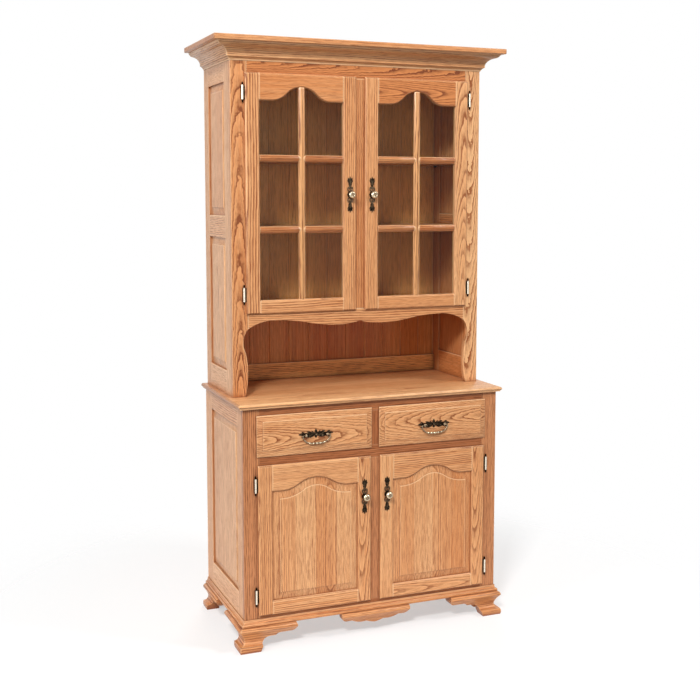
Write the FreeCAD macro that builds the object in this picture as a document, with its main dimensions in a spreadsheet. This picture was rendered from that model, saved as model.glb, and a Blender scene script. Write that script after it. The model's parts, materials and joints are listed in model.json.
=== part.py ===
import FreeCAD, Part
import os
import re
import Sketcher

# Driving dimensions of the cabinet, in millimetres
dimensions = {
    # base case
    "base_width": 940,
    "base_depth": 467,
    "base_height": 734,
    "foot_height": 84,
    "side_thick": 19,
    "face_thick": 19,
    "back_thick": 6,
    "shelf_thick": 18,
    "base_stile": 55.5,
    "base_mullion": 47,
    "base_top_rail": 34,
    "drawer_opening": 119.5,
    "drawer_rail": 44,
    "base_bottom_rail": 39,
    "base_side_front_stile": 46,
    "base_side_rear_stile": 77,
    "base_side_top_rail": 66,
    "base_side_bottom_rail": 102,
    "base_shelf_rise": 245,
    "shelf_setback": 25,
    "shelf_play": 1.5,
    # counter
    "counter_thick": 16,
    "counter_overhang": 17.5,
    "counter_round": 6,
    "counter_step": 3,
    # base moulding
    "moulding_reach": 11,
    "moulding_band": 10,
    "moulding_round": 1.5,
    "moulding_quirk": 3,
    "moulding_cove": 13,
    "moulding_lip": 3,
    # bracket feet and the drop between them
    "foot_reach": 21,
    "foot_inset": 26,
    "foot_hollow": 7.5,
    "waist_height": 42,
    "waist_reach": 2.5,
    "foot_swell": 20,
    "swell_height": 71,
    "swell_hollow": 2,
    "foot_bulge": 3.5,
    "foot_lip": 10,
    "toe_edge": 21,
    "toe_round": 2,
    "toe_length": 51,
    "toe_shoulder": 17,
    "toe_taper": 7,
    "wing_length": 182,
    "wing_end": 31,
    "wing_turn": 22,
    "wing_tip": 12.5,
    "wing_return": 4,
    "wing_cusp": 44,
    "cusp_start": 91,
    "cusp_end": 109,
    "cusp_run": 15.5,
    "block_width": 40,
    "drop_width": 255,
    "drop_depth": 47,
    "drop_lobe": 30,
    "drop_lobe_reach": 102,
    "drop_inner_lobe": 40,
    "drop_inner_reach": 47,
    "drop_cusp": 1,
    # hutch
    "hutch_width": 927,
    "hutch_depth": 332,
    "hutch_height": 1178,
    "hutch_stile": 56,
    "hutch_mullion": 46,
    "hutch_top_rail": 100,
    "hutch_side_front_stile": 54,
    "hutch_side_rear_stile": 57,
    "hutch_side_top_rail": 120,
    "hutch_side_mid_rail": 75,
    "hutch_side_mid_rise": 536,
    "hutch_side_bottom_rail": 82,
    "hutch_back_rail": 60,
    "hutch_back_rail_thick": 12,
    "groove_pitch": 76,
    "groove_width": 4,
    "niche_height": 287,
    "apron_end": 57,
    "apron_arch": 31,
    "apron_arch_reach": 307,
    "apron_turn": 42,
    "apron_turn_reach": 195,
    "apron_lobe": 54,
    "apron_lobe_reach": 83,
    "apron_cusp": 43,
    "scallop_foot": 45,
    "scallop_turn": 47,
    "scallop_turn_rise": 150,
    "scallop_swell": 8.5,
    "scallop_hollow": 12.5,
    # crown
    "top_thick": 18,
    "top_overhang": 70.5,
    "crown_toe": 2,
    "crown_small_cove": 12,
    "crown_bead": 9.5,
    "crown_cove_reach": 28,
    "crown_cove_rise": 22,
    "crown_ovolo": 13,
    # doors
    "door_thick": 19,
    "lip_thick": 9.5,
    "door_lip": 6,
    "door_edge": 4,
    "door_gap": 1.5,
    "close_gap": 0.3,
    "upper_door_stile": 48.5,
    "upper_door_top_rail": 44,
    "upper_door_bottom_rail": 45.5,
    "upper_arch_rise": 46,
    "upper_arch_flat": 45,
    "lower_door_stile": 49,
    "lower_door_top_rail": 53.5,
    "lower_door_bottom_rail": 48,
    "lower_arch_rise": 36,
    "lower_arch_flat": 36,
    "sticking": 4,
    "panel_groove": 8,
    "panel_play": 0.5,
    "tongue_setback": 8,
    "tongue_thick": 5,
    "field_setback": 1.5,
    "field_step": 2,
    "bevel_width": 26,
    "muntin_width": 23,
    "muntin_face": 7,
    "muntin_setback": 1.5,
    "muntin_depth": 9,
    "lower_muntin_rise": 237,
    "upper_muntin_rise": 476.5,
    "glass_thick": 3,
    # drawers
    "drawer_lip": 9.5,
    "drawer_edge": 4,
    "drawer_bevel": 20,
    "drawer_depth": 400,
    "drawer_side": 12,
    "drawer_side_height": 92,
    "drawer_back_height": 74,
    "drawer_bottom_thick": 6,
    "drawer_bottom_rise": 12,
    "drawer_bottom_groove": 5,
    "drawer_play": 3,
    "runner_thick": 20,
    "guide_height": 24,
    "guide_gap": 1,
    # hinges
    "hinge_offset": 8.5,
    "hinge_inset": 66,
    "knuckle_radius": 3.6,
    "knuckle_height": 47,
    "knuckle_door": 20,
    "leaf_thick": 1.4,
    "leaf_reach": 5,
    "hinge_pin_radius": 1.8,
    "pin_play": 0.05,
    "finial_height": 10.5,
    "finial_radius": 2.9,
    "finial_seat": 1,
    # knobs, pulls and shelf pins
    "knob_reach": 28,
    "knob_radius": 13.5,
    "knob_neck": 4.5,
    "knob_base": 7.5,
    "knob_foot": 2.6,
    "knob_neck_low": 5.2,
    "knob_neck_top": 11,
    "knob_under": 8,
    "knob_under_rise": 13,
    "knob_belly_rise": 18.7,
    "knob_crown": 7.5,
    "knob_crown_fall": 1,
    "plate_length": 125,
    "plate_lobe": 5.5,
    "plate_boss": 8.5,
    "plate_neck": 6.5,
    "plate_leaf": 5,
    "plate_leaf_spread": 4.4,
    "plate_leaf_drop": 8,
    "plate_bud": 4.4,
    "plate_bud_spread": 2.8,
    "plate_bud_drop": 22,
    "plate_thick": 2,
    "upper_knob_rise": 401,
    "lower_knob_drop": 138,
    "pull_width": 124,
    "blade_height": 12,
    "palmette_radius": 9.6,
    "palmette_rise": 4.2,
    "crest_radius": 4.2,
    "crest_rise": 15.6,
    "pendant_radius": 5.4,
    "pendant_fall": 6,
    "scroll_radius": 7.2,
    "scroll_spread": 18.5,
    "scroll_rise": 3,
    "frond_radius": 6.6,
    "frond_spread": 30,
    "frond_rise": 3.6,
    "eye_radius": 9,
    "pull_lower": 6,
    "post_spacing": 76,
    "post_radius": 4.5,
    "post_reach": 13,
    "bail_drop": 28,
    "bail_radius": 2.5,
    "bail_gap": 4.5,
    "bail_pivot_radius": 1.6,
    "bail_pivot_inset": 8,
    "shelf_pin_radius": 3,
    "shelf_pin_bore": 8,
    "shelf_pin_length": 20,
    "shelf_pin_inset": 10,
}

# Allowance by which cutting and trimming shapes run past what they cut
MARGIN = 10

doc = FreeCAD.newDocument("dresser_with_hutch")
sheet = doc.addObject("Spreadsheet::Sheet", "sizes")
for row, (alias, size) in enumerate(dimensions.items(), start=1):
    sheet.set(f"A{row}", alias)
    sheet.set(f"B{row}", str(size))
    sheet.setAlias(f"B{row}", alias)
doc.recompute()

nodes = []

# Main planes: X is centred, Z is up from the floor, and Y runs from the knobs to the wall
rear = "((base_depth + close_gap + lip_thick + knob_reach) / 2)"
front = f"({rear} - base_depth)"
hutch_front = f"({rear} - hutch_depth)"
case_top = "(foot_height + base_height)"
counter_top = f"({case_top} + counter_thick)"
hutch_top = f"({counter_top} + hutch_height)"
drawer_top = f"({case_top} - base_top_rail)"
drawer_low = f"({drawer_top} - drawer_opening)"
cupboard_top = f"({drawer_low} - drawer_rail)"
cupboard_low = "(foot_height + base_bottom_rail)"
display_low = f"({counter_top} + niche_height)"
display_top = f"({hutch_top} - hutch_top_rail)"
base_outer = "(base_width / 2 - base_stile)"
base_inner = "(base_mullion / 2)"
hutch_outer = "(hutch_width / 2 - hutch_stile)"
hutch_inner = "(hutch_mullion / 2)"


def ref(expression):
    """Turns the named sizes in an expression into references to the sheet's cells."""
    return re.sub(
        r"[a-z_]+",
        lambda word: f"sizes.{word.group()}" if word.group() in dimensions else word.group(),
        str(expression),
    )


def value(expression):
    return float(sheet.evalExpression(ref(expression)))


def bind(thing, **sizes):
    for name, expression in sizes.items():
        thing.setExpression(name, ref(expression))
    return thing


def place(thing, x="0", y="0", z="0"):
    for axis, expression in zip("xyz", (x, y, z)):
        thing.setExpression(f"Placement.Base.{axis}", ref(expression))
    return thing


def turn(thing, axis, angle):
    thing.Placement = FreeCAD.Placement(FreeCAD.Vector(), FreeCAD.Rotation(FreeCAD.Vector(*axis), angle))
    return thing


def node(thing, label):
    thing.Label = label
    nodes.append(thing)
    return thing


def board(name, x, y, z):
    """A squared board between two expressions along each axis."""
    box = doc.addObject("Part::Box", name)
    for size, (low, high) in zip(("Length", "Width", "Height"), (x, y, z)):
        bind(box, **{size: f"({high}) - ({low})"})
    return place(box, x[0], y[0], z[0])


def cylinder(name, radius, height, at, axis=None):
    """A round bar from a point: up Z, along +X, or out along -Y."""
    bar = doc.addObject("Part::Cylinder", name)
    if axis == "x":
        turn(bar, (0, 1, 0), 90)
    if axis == "out":
        turn(bar, (1, 0, 0), 90)
    bind(bar, Radius=radius, Height=height)
    return place(bar, *at)


def group(name, pieces):
    compound = doc.addObject("Part::Compound", name)
    compound.Links = pieces
    return compound


def fuse(name, pieces):
    whole = doc.addObject("Part::MultiFuse", name)
    whole.Shapes = pieces
    return whole


def common(name, pieces):
    whole = doc.addObject("Part::MultiCommon", name)
    whole.Shapes = pieces
    return whole


def trim(name, base, tool):
    """What lies inside the tool, piece by piece."""
    kept = doc.addObject("Part::Common", name)
    kept.Base = base
    kept.Tool = tool
    return kept


def cut(name, base, tool):
    rest = doc.addObject("Part::Cut", name)
    rest.Base = base
    rest.Tool = tool
    return rest


def mirror(source, name):
    """The same piece on the other side of the cabinet."""
    other = doc.addObject("Part::Mirroring", name)
    other.Source = source
    other.Base = (0, 0, 0)
    other.Normal = (1, 0, 0)
    return other


def origin_feature(body, role):
    return next(feature for feature in body.Origin.OriginFeatures if feature.Role == role)


def radius_of(start, end, bow):
    """Radius of an arc from its two ends and its bow above the chord."""
    chord = f"((({end[0]}) - ({start[0]}))^2 + (({end[1]}) - ({start[1]}))^2)"
    return f"{chord} / 8 / abs({bow}) + abs({bow}) / 2"


def sketch_on(body, plane):
    sketch = body.newObject("Sketcher::SketchObject", f"{body.Name}_outline")
    sketch.AttachmentSupport = [(origin_feature(body, plane), "")]
    sketch.MapMode = "FlatFace"
    return sketch


def constrain(sketch, rules):
    for rule, expression in rules:
        number = sketch.addConstraint(rule)
        sketch.setExpression(f"Constraints[{number}]", ref(expression))


def ring(body, plane, centre, radius):
    """A circle about a point of the plane."""
    sketch = sketch_on(body, plane)
    x, y = value(centre[0]), value(centre[1])
    circle = sketch.addGeometry(Part.Circle(FreeCAD.Vector(x, y, 0), FreeCAD.Vector(0, 0, 1), value(radius)))
    rules = [
        (Sketcher.Constraint("DistanceX", -1, 1, circle, 3, x), centre[0]),
        (Sketcher.Constraint("DistanceY", -1, 1, circle, 3, y), centre[1]),
        (Sketcher.Constraint("Radius", circle, value(radius)), radius),
    ]
    constrain(sketch, rules)
    return sketch


def outline(body, plane, points, lift="0"):
    """A closed sketch: each point is (x, y), or (x, y, bow) where an arc arrives bowed to its left."""
    sketch = sketch_on(body, plane)
    sketch.setExpression("AttachmentOffset.Base.z", ref(lift))
    corners = [FreeCAD.Vector(value(point[0]), value(point[1]), 0) for point in points]
    edges = []
    for index, point in enumerate(points):
        start, end = corners[index - 1], corners[index]
        if len(point) == 2:
            edges.append((sketch.addGeometry(Part.LineSegment(start, end)), 1, 2))
            continue
        bow = value(point[2])
        chord = end - start
        middle = (start + end) / 2 + FreeCAD.Vector(-chord.y, chord.x, 0).normalize() * bow
        curve = sketch.addGeometry(Part.Arc(start, middle, end))
        edges.append((curve, 2, 1) if bow > 0 else (curve, 1, 2))
    for index, point in enumerate(points):
        edge, _, finish = edges[index]
        following, begin, _ = edges[(index + 1) % len(points)]
        sketch.addConstraint(Sketcher.Constraint("Coincident", edge, finish, following, begin))
        rules = [
            (Sketcher.Constraint("DistanceX", -1, 1, edge, finish, corners[index].x), point[0]),
            (Sketcher.Constraint("DistanceY", -1, 1, edge, finish, corners[index].y), point[1]),
        ]
        if len(point) == 3:
            radius = radius_of(points[index - 1], point, point[2])
            rules.append((Sketcher.Constraint("Radius", edge, value(radius)), radius))
        constrain(sketch, rules)
    return sketch


def pad(body, sketch, length, back=False):
    feature = body.newObject("PartDesign::Pad", f"{body.Name}_pad")
    feature.Profile = sketch
    feature.Reversed = back
    return bind(feature, Length=length)


def slab(name, plane, points, length, at=("0", "0", "0")):
    """An outline given a thickness towards +X, +Y or +Z."""
    body = doc.addObject("PartDesign::Body", name)
    pad(body, outline(body, plane, points), length, back=plane == "XZ_Plane")
    return place(body, *at)


def turned(name, points, at):
    """A turned piece about an axis along Y: points are (radius, distance along -Y)."""
    body = doc.addObject("PartDesign::Body", name)
    feature = body.newObject("PartDesign::Revolution", f"{name}_turning")
    feature.Profile = outline(body, "XY_Plane", points)
    feature.ReferenceAxis = (origin_feature(body, "Y_Axis"), [""])
    feature.Angle = 360
    return place(body, *at)


def negative(expression):
    return f"-({expression})"


# Frames with raised panels


def tapered(name, centre, width, low, high, bevel, depth):
    """A block whose near face is drawn in by the bevel on every side."""
    near, far = depth
    inner = f"({width} / 2 - {bevel})"
    block = doc.addObject("Part::Wedge", name)
    bind(block, Ymin=near, Ymax=far, Xmin=negative(inner), Xmax=inner)
    bind(block, Zmin=f"{low} + {bevel}", Zmax=f"{high} - {bevel}", Z2min=low, Z2max=high)
    bind(block, X2min=f"-{width} / 2", X2max=f"{width} / 2")
    return place(block, centre)


def raised(name, centre, width, low, high, bevel, faces):
    """A bevelled field that faces -Y: faces are the bevel's foot, its top and the field."""
    foot, brow, face = faces
    inner = f"({width} / 2 - {bevel})"
    slope = tapered(f"{name}_slope", centre, width, low, high, bevel, (brow, foot))
    field = board(
        f"{name}_field",
        (f"{centre} - {inner}", f"{centre} + {inner}"),
        (face, foot),
        (f"{low} + {bevel}", f"{high} - {bevel}"),
    )
    return [slope, field]


def side(prefix, span, wall, stiles, rails, holes):
    """A left side: grooved stiles and rails, with a raised panel between each two rails."""
    outer = f"-({span}) / 2"
    thickness = (outer, f"{outer} + side_thick")
    y_low, y_high = f"{wall} + face_thick", rear
    opening = (f"({y_low} + {stiles[0]})", f"({y_high} - {stiles[1]})")
    bottom, top = rails[0][0], rails[-1][1]
    boards = [
        board(f"{prefix}_front_stile", thickness, (y_low, opening[0]), (bottom, top)),
        board(f"{prefix}_rear_stile", thickness, (opening[1], y_high), (bottom, top)),
    ]
    for number, rail in enumerate(rails):
        boards.append(board(f"{prefix}_rail_{number}", thickness, opening, rail))
    grooves = []
    panels = []
    for number, (rail, following) in enumerate(zip(rails, rails[1:])):
        low, high = rail[1], following[0]
        groove = (f"{outer} + tongue_setback", f"{outer} + tongue_setback + tongue_thick")
        grooves.append(
            board(
                f"{prefix}_groove_{number}",
                groove,
                (f"{opening[0]} - panel_groove", f"{opening[1]} + panel_groove"),
                (f"{low} - panel_groove", f"{high} + panel_groove"),
            )
        )
        width = f"({opening[1]} - {opening[0]})"
        edge = f"({width} / 2 + panel_groove - panel_play)"
        tongue = board(
            f"{prefix}_tongue_{number}",
            (negative(edge), edge),
            ("tongue_setback", "tongue_setback + tongue_thick"),
            (f"{low} - panel_groove + panel_play", f"{high} + panel_groove - panel_play"),
        )
        faces = ("tongue_setback", "field_setback + field_step", "field_setback")
        field = raised(f"{prefix}_raised_{number}", "0", width, low, high, "bevel_width", faces)
        panel = turn(fuse(f"{prefix}_panel_{number}", [tongue, *field]), (0, 0, 1), -90)
        panels.append(place(panel, outer, f"({opening[0]} + {opening[1]}) / 2"))
    solid = group(f"{prefix}_boards", boards)
    grooved = cut(f"{prefix}_grooved", solid, group(f"{prefix}_grooves", grooves))
    return cut(f"{prefix}_frame", grooved, holes), group(f"{prefix}_panels", panels)


def shelf_pins(name, span, low, depths):
    """Left pins of one shelf: their tops carry the shelf's underside."""
    start = f"-{span} / 2 + side_thick - shelf_pin_bore"
    return [
        cylinder(
            f"{name}_pin_{number}",
            "shelf_pin_radius",
            "shelf_pin_length",
            (start, depth, f"{low} - shelf_pin_radius"),
            "x",
        )
        for number, depth in enumerate(depths)
    ]


def mitred(name, profile, span, wall, low, high, reach):
    """Three mitred lengths round the front and sides: profile points are (reach, height)."""
    half = f"({span} / 2)"
    tall = f"{high} - {low}"
    facing = [(negative(point[0]), *point[1:]) for point in profile]
    front_run = slab(
        f"{name}_front_run",
        "YZ_Plane",
        facing,
        f"2 * ({half} + {reach})",
        (f"-{half} - {reach}", wall, "0"),
    )
    front_mitre = slab(
        f"{name}_front_mitre",
        "XY_Plane",
        [
            (f"-{half} - {reach}", negative(reach)),
            (f"{half} + {reach}", negative(reach)),
            (half, "0"),
            (negative(half), "0"),
        ],
        tall,
        ("0", wall, low),
    )
    length = f"({rear} - {wall})"
    side_run = slab(
        f"{name}_side_run",
        "XZ_Plane",
        facing,
        f"{length} + {reach}",
        (negative(half), f"{wall} - {reach}", "0"),
    )
    side_mitre = slab(
        f"{name}_side_mitre",
        "XY_Plane",
        [
            ("0", "0"),
            ("0", length),
            (negative(reach), length),
            (negative(reach), negative(reach)),
        ],
        tall,
        (negative(half), wall, low),
    )
    front_piece = common(f"{name}_front", [front_run, front_mitre])
    left_piece = common(f"{name}_left", [side_run, side_mitre])
    return group(name, [front_piece, left_piece, mirror(left_piece, f"{name}_right")])


# Base case


def base_case():
    half = "base_width / 2"
    inside = (f"-({half} - side_thick)", f"{half} - side_thick")
    face = (front, f"{front} + face_thick")
    deep = (f"{front} + face_thick", f"{rear} - back_thick")
    span = (negative(base_outer), base_outer)
    centre = (negative(base_inner), base_inner)
    frame = [
        board("base_left_stile", (f"-{half}", negative(base_outer)), face, ("foot_height", case_top)),
        board("base_right_stile", (base_outer, half), face, ("foot_height", case_top)),
        board("base_top_rail_piece", span, face, (drawer_top, case_top)),
        board("base_drawer_rail_piece", span, face, (cupboard_top, drawer_low)),
        board("base_bottom_rail_piece", span, face, ("foot_height", cupboard_low)),
        board("base_drawer_mullion", centre, face, (drawer_low, drawer_top)),
        board("base_door_mullion", centre, face, (cupboard_low, cupboard_top)),
    ]
    node(group("base_frame_pieces", frame), "base_face_frame")

    shelf_low = f"({cupboard_low} + base_shelf_rise)"
    depths = [
        f"{front} + face_thick + shelf_setback + shelf_pin_inset",
        f"{rear} - base_side_rear_stile / 2",
    ]
    pins = shelf_pins("base", "base_width", shelf_low, depths)
    rails = [
        ("foot_height", "(foot_height + base_side_bottom_rail)"),
        (f"({case_top} - base_side_top_rail)", case_top),
    ]
    stiles = ("base_side_front_stile", "base_side_rear_stile")
    frame, panels = side("base_side", "base_width", front, stiles, rails, group("base_pins_left", pins))
    node(frame, "base_left_side_frame")
    node(mirror(frame, "base_side_frame_right"), "base_right_side_frame")
    node(panels, "base_left_side_panel")
    node(mirror(panels, "base_side_panels_right"), "base_right_side_panel")

    back = board("base_back", inside, (f"{rear} - back_thick", rear), ("foot_height", case_top))
    node(back, "base_back_panel")
    node(board("base_bottom", inside, deep, (f"{cupboard_low} - shelf_thick", cupboard_low)), "base_floor")
    shelf = board(
        "base_shelf_board",
        (f"{inside[0]} + shelf_play", f"{inside[1]} - shelf_play"),
        (f"{deep[0]} + shelf_setback", deep[1]),
        (shelf_low, f"{shelf_low} + shelf_thick"),
    )
    node(shelf, "base_shelf")
    return pins


def drawer_runners():
    deep = (f"{front} + face_thick", f"{rear} - back_thick")
    top = f"({drawer_low} + drawer_play - close_gap)"
    level = (f"{top} - runner_thick", top)
    guided = (top, f"{top} + guide_height")
    wall = "(base_width / 2 - side_thick)"
    outer_side = f"({base_outer} - drawer_play)"
    inner_side = f"({base_inner} + drawer_play)"
    runner = board("left_runner", (negative(wall), f"-({outer_side} - drawer_side)"), deep, level)
    guide = board("left_guide", (negative(wall), f"-({outer_side} + guide_gap)"), deep, guided)
    reach = f"{inner_side} + drawer_side"
    middle = board("middle_runner", (negative(reach), reach), deep, level)
    rib = f"{inner_side} - guide_gap"
    middle_guide = board("middle_guide", (negative(rib), rib), deep, guided)
    left = [runner, guide]
    right = [mirror(runner, "right_runner"), mirror(guide, "right_guide")]
    node(group("runner_pieces", [*left, *right, middle, middle_guide]), "drawer_runners")


def countertop():
    half = "(base_width / 2 + counter_overhang)"
    deep = "(base_depth + counter_overhang)"
    nose = "counter_round"
    edge = "(counter_thick - counter_step) / 2"
    lengthwise = slab(
        "counter_length",
        "YZ_Plane",
        [
            (deep, "0"),
            (deep, "counter_thick"),
            (nose, "counter_thick"),
            ("0", f"counter_step + {edge}", "counter_round / 4"),
            (nose, "counter_step", "counter_round / 4"),
            (nose, "0"),
        ],
        f"2 * {half}",
        (negative(half), f"{front} - counter_overhang", case_top),
    )
    crosswise = slab(
        "counter_breadth",
        "XZ_Plane",
        [
            (f"{nose} - {half}", "0"),
            (f"{half} - {nose}", "0"),
            (f"{half} - {nose}", "counter_step"),
            (half, f"counter_step + {edge}", "-counter_round / 4"),
            (f"{half} - {nose}", "counter_thick", "-counter_round / 4"),
            (f"{nose} - {half}", "counter_thick"),
            (negative(half), f"counter_step + {edge}", "-counter_round / 4"),
            (f"{nose} - {half}", "counter_step", "-counter_round / 4"),
        ],
        deep,
        ("0", f"{front} - counter_overhang", case_top),
    )
    node(common("counter_slab", [lengthwise, crosswise]), "countertop")


def base_moulding():
    low = "foot_height"
    band = f"({low} + moulding_band)"
    top = f"({band} + moulding_cove)"
    face = "(moulding_reach - moulding_round)"
    profile = [
        ("0", low),
        ("0", top),
        ("moulding_lip", top),
        (f"{face} - moulding_quirk", band, "(moulding_reach - moulding_lip) / 6"),
        (face, band),
        (face, low, "-moulding_round"),
    ]
    node(mitred("moulding", profile, "base_width", front, low, top, "moulding_reach"), "base_moulding")


# Feet


def foot_profile():
    """Section of an ogee bracket: points are (reach, height)."""
    return [
        ("-foot_inset", "0"),
        ("foot_reach - toe_round", "0"),
        ("foot_reach - toe_round", "toe_edge", "-toe_round"),
        ("waist_reach", "waist_height", "foot_hollow"),
        ("foot_swell", "swell_height", "swell_hollow"),
        ("foot_lip", "foot_height", "-foot_bulge"),
        ("-foot_inset", "foot_height"),
    ]


def bracket_outline():
    """Silhouette of a bracket: points are (distance from the corner, height)."""
    underside = "(foot_height - wing_end)"
    return [
        ("-foot_reach", "0"),
        ("toe_length", "0"),
        ("toe_length + toe_taper", "toe_shoulder"),
        ("cusp_start", "wing_cusp", "(cusp_start - toe_length) / 5"),
        ("cusp_end", "wing_cusp"),
        ("cusp_end + cusp_run", underside, "wing_end / 15"),
        ("wing_length - wing_turn", underside),
        ("wing_length", "foot_height - wing_tip", "-wing_end / 5"),
        ("wing_length - wing_return", "foot_height"),
        ("-foot_reach", "foot_height"),
    ]


def feet():
    corner_x = "-base_width / 2"
    facing = [(negative(point[0]), *point[1:]) for point in foot_profile()]
    facing = [(*point[:2], negative(point[2])) if len(point) == 3 else point for point in facing]
    length = f"wing_length + foot_reach + {MARGIN}"
    through = f"foot_reach + foot_inset + {2 * MARGIN}"
    reach = f"(foot_reach + {MARGIN})"
    inset = f"(foot_inset + {MARGIN})"
    far = f"(wing_length + {MARGIN})"

    front_run = slab(
        "foot_front_run", "YZ_Plane", facing, length, (f"{corner_x} - foot_reach", front, "0")
    )
    front_shape = slab(
        "foot_front_shape",
        "XZ_Plane",
        bracket_outline(),
        through,
        (corner_x, f"{front} - {reach}", "0"),
    )
    front_mitre = slab(
        "foot_front_mitre",
        "XY_Plane",
        [(negative(reach), negative(reach)), (far, negative(reach)), (far, inset), (inset, inset)],
        "foot_height",
        (corner_x, front, "0"),
    )
    side_run = slab(
        "foot_side_run", "XZ_Plane", facing, length, (corner_x, f"{front} - foot_reach", "0")
    )
    side_shape = slab(
        "foot_side_shape",
        "YZ_Plane",
        bracket_outline(),
        through,
        (f"{corner_x} - {reach}", front, "0"),
    )
    side_mitre = slab(
        "foot_side_mitre",
        "XY_Plane",
        [(negative(reach), negative(reach)), (inset, inset), (inset, far), (negative(reach), far)],
        "foot_height",
        (corner_x, front, "0"),
    )
    block = board(
        "foot_block",
        (f"{corner_x} + foot_inset", f"{corner_x} + foot_inset + block_width"),
        (f"{front} + foot_inset", f"{front} + foot_inset + block_width"),
        ("toe_edge", "foot_height"),
    )
    front_foot = group(
        "foot_front",
        [
            common("foot_front_bracket", [front_run, front_shape, front_mitre]),
            common("foot_side_bracket", [side_run, side_shape, side_mitre]),
            block,
        ],
    )
    node(front_foot, "front_left_foot")
    node(mirror(front_foot, "foot_front_mirrored"), "front_right_foot")

    rear_outline = [(negative(point[0]), *point[1:]) for point in bracket_outline()]
    rear_outline = [(*point[:2], negative(point[2])) if len(point) == 3 else point for point in rear_outline]
    rear_run = slab(
        "foot_rear_run", "XZ_Plane", facing, "wing_length", (corner_x, f"{rear} - wing_length", "0")
    )
    rear_shape = slab(
        "foot_rear_shape",
        "YZ_Plane",
        rear_outline,
        through,
        (f"{corner_x} - {reach}", rear, "0"),
    )
    brace = board(
        "foot_rear_brace",
        (f"{corner_x} + foot_inset", f"{corner_x} + foot_inset + 2 * block_width"),
        (f"{rear} - side_thick", rear),
        ("0", "foot_height"),
    )
    rear_foot = group("foot_rear", [common("foot_rear_bracket", [rear_run, rear_shape]), brace])
    node(rear_foot, "rear_left_foot")
    node(mirror(rear_foot, "foot_rear_mirrored"), "rear_right_foot")


def centre_drop():
    top = "foot_height"
    tip = f"({top} - drop_depth)"
    thick = "(face_thick / 2)"
    section = [
        (thick, top),
        (thick, tip),
        ("-waist_reach", tip),
        ("-waist_reach", "waist_height"),
        ("-foot_swell", "swell_height", "-swell_hollow"),
        ("-foot_lip", top, "foot_bulge"),
    ]
    half = "drop_width / 2"
    right = [
        (half, top),
        ("drop_lobe_reach + drop_lobe / 4", f"{top} - drop_lobe", "drop_lobe / 4"),
        ("drop_lobe_reach - drop_lobe / 2", f"{top} - drop_lobe + drop_cusp"),
        ("drop_inner_reach + drop_lobe / 10", f"{top} - drop_inner_lobe", "drop_lobe / 12"),
        ("drop_inner_reach - drop_lobe / 2", f"{top} - drop_inner_lobe + drop_cusp"),
    ]
    left = [
        ("-(drop_inner_reach - drop_lobe / 2)", f"{top} - drop_inner_lobe + drop_cusp", "drop_lobe / 30"),
        ("-(drop_inner_reach + drop_lobe / 10)", f"{top} - drop_inner_lobe"),
        ("-(drop_lobe_reach - drop_lobe / 2)", f"{top} - drop_lobe + drop_cusp", "drop_lobe / 12"),
        ("-(drop_lobe_reach + drop_lobe / 4)", f"{top} - drop_lobe"),
        (f"-{half}", top, "drop_lobe / 4"),
    ]
    silhouette = [*right, ("0", tip, "drop_lobe / 30"), *left]
    run = slab("drop_run", "YZ_Plane", section, "drop_width", (f"-{half}", front, "0"))
    shape = slab(
        "drop_shape",
        "XZ_Plane",
        silhouette,
        f"foot_reach + face_thick + {MARGIN}",
        ("0", f"{front} - foot_reach - {MARGIN}", "0"),
    )
    node(common("drop_piece", [run, shape]), "centre_drop")


# Hutch


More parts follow.
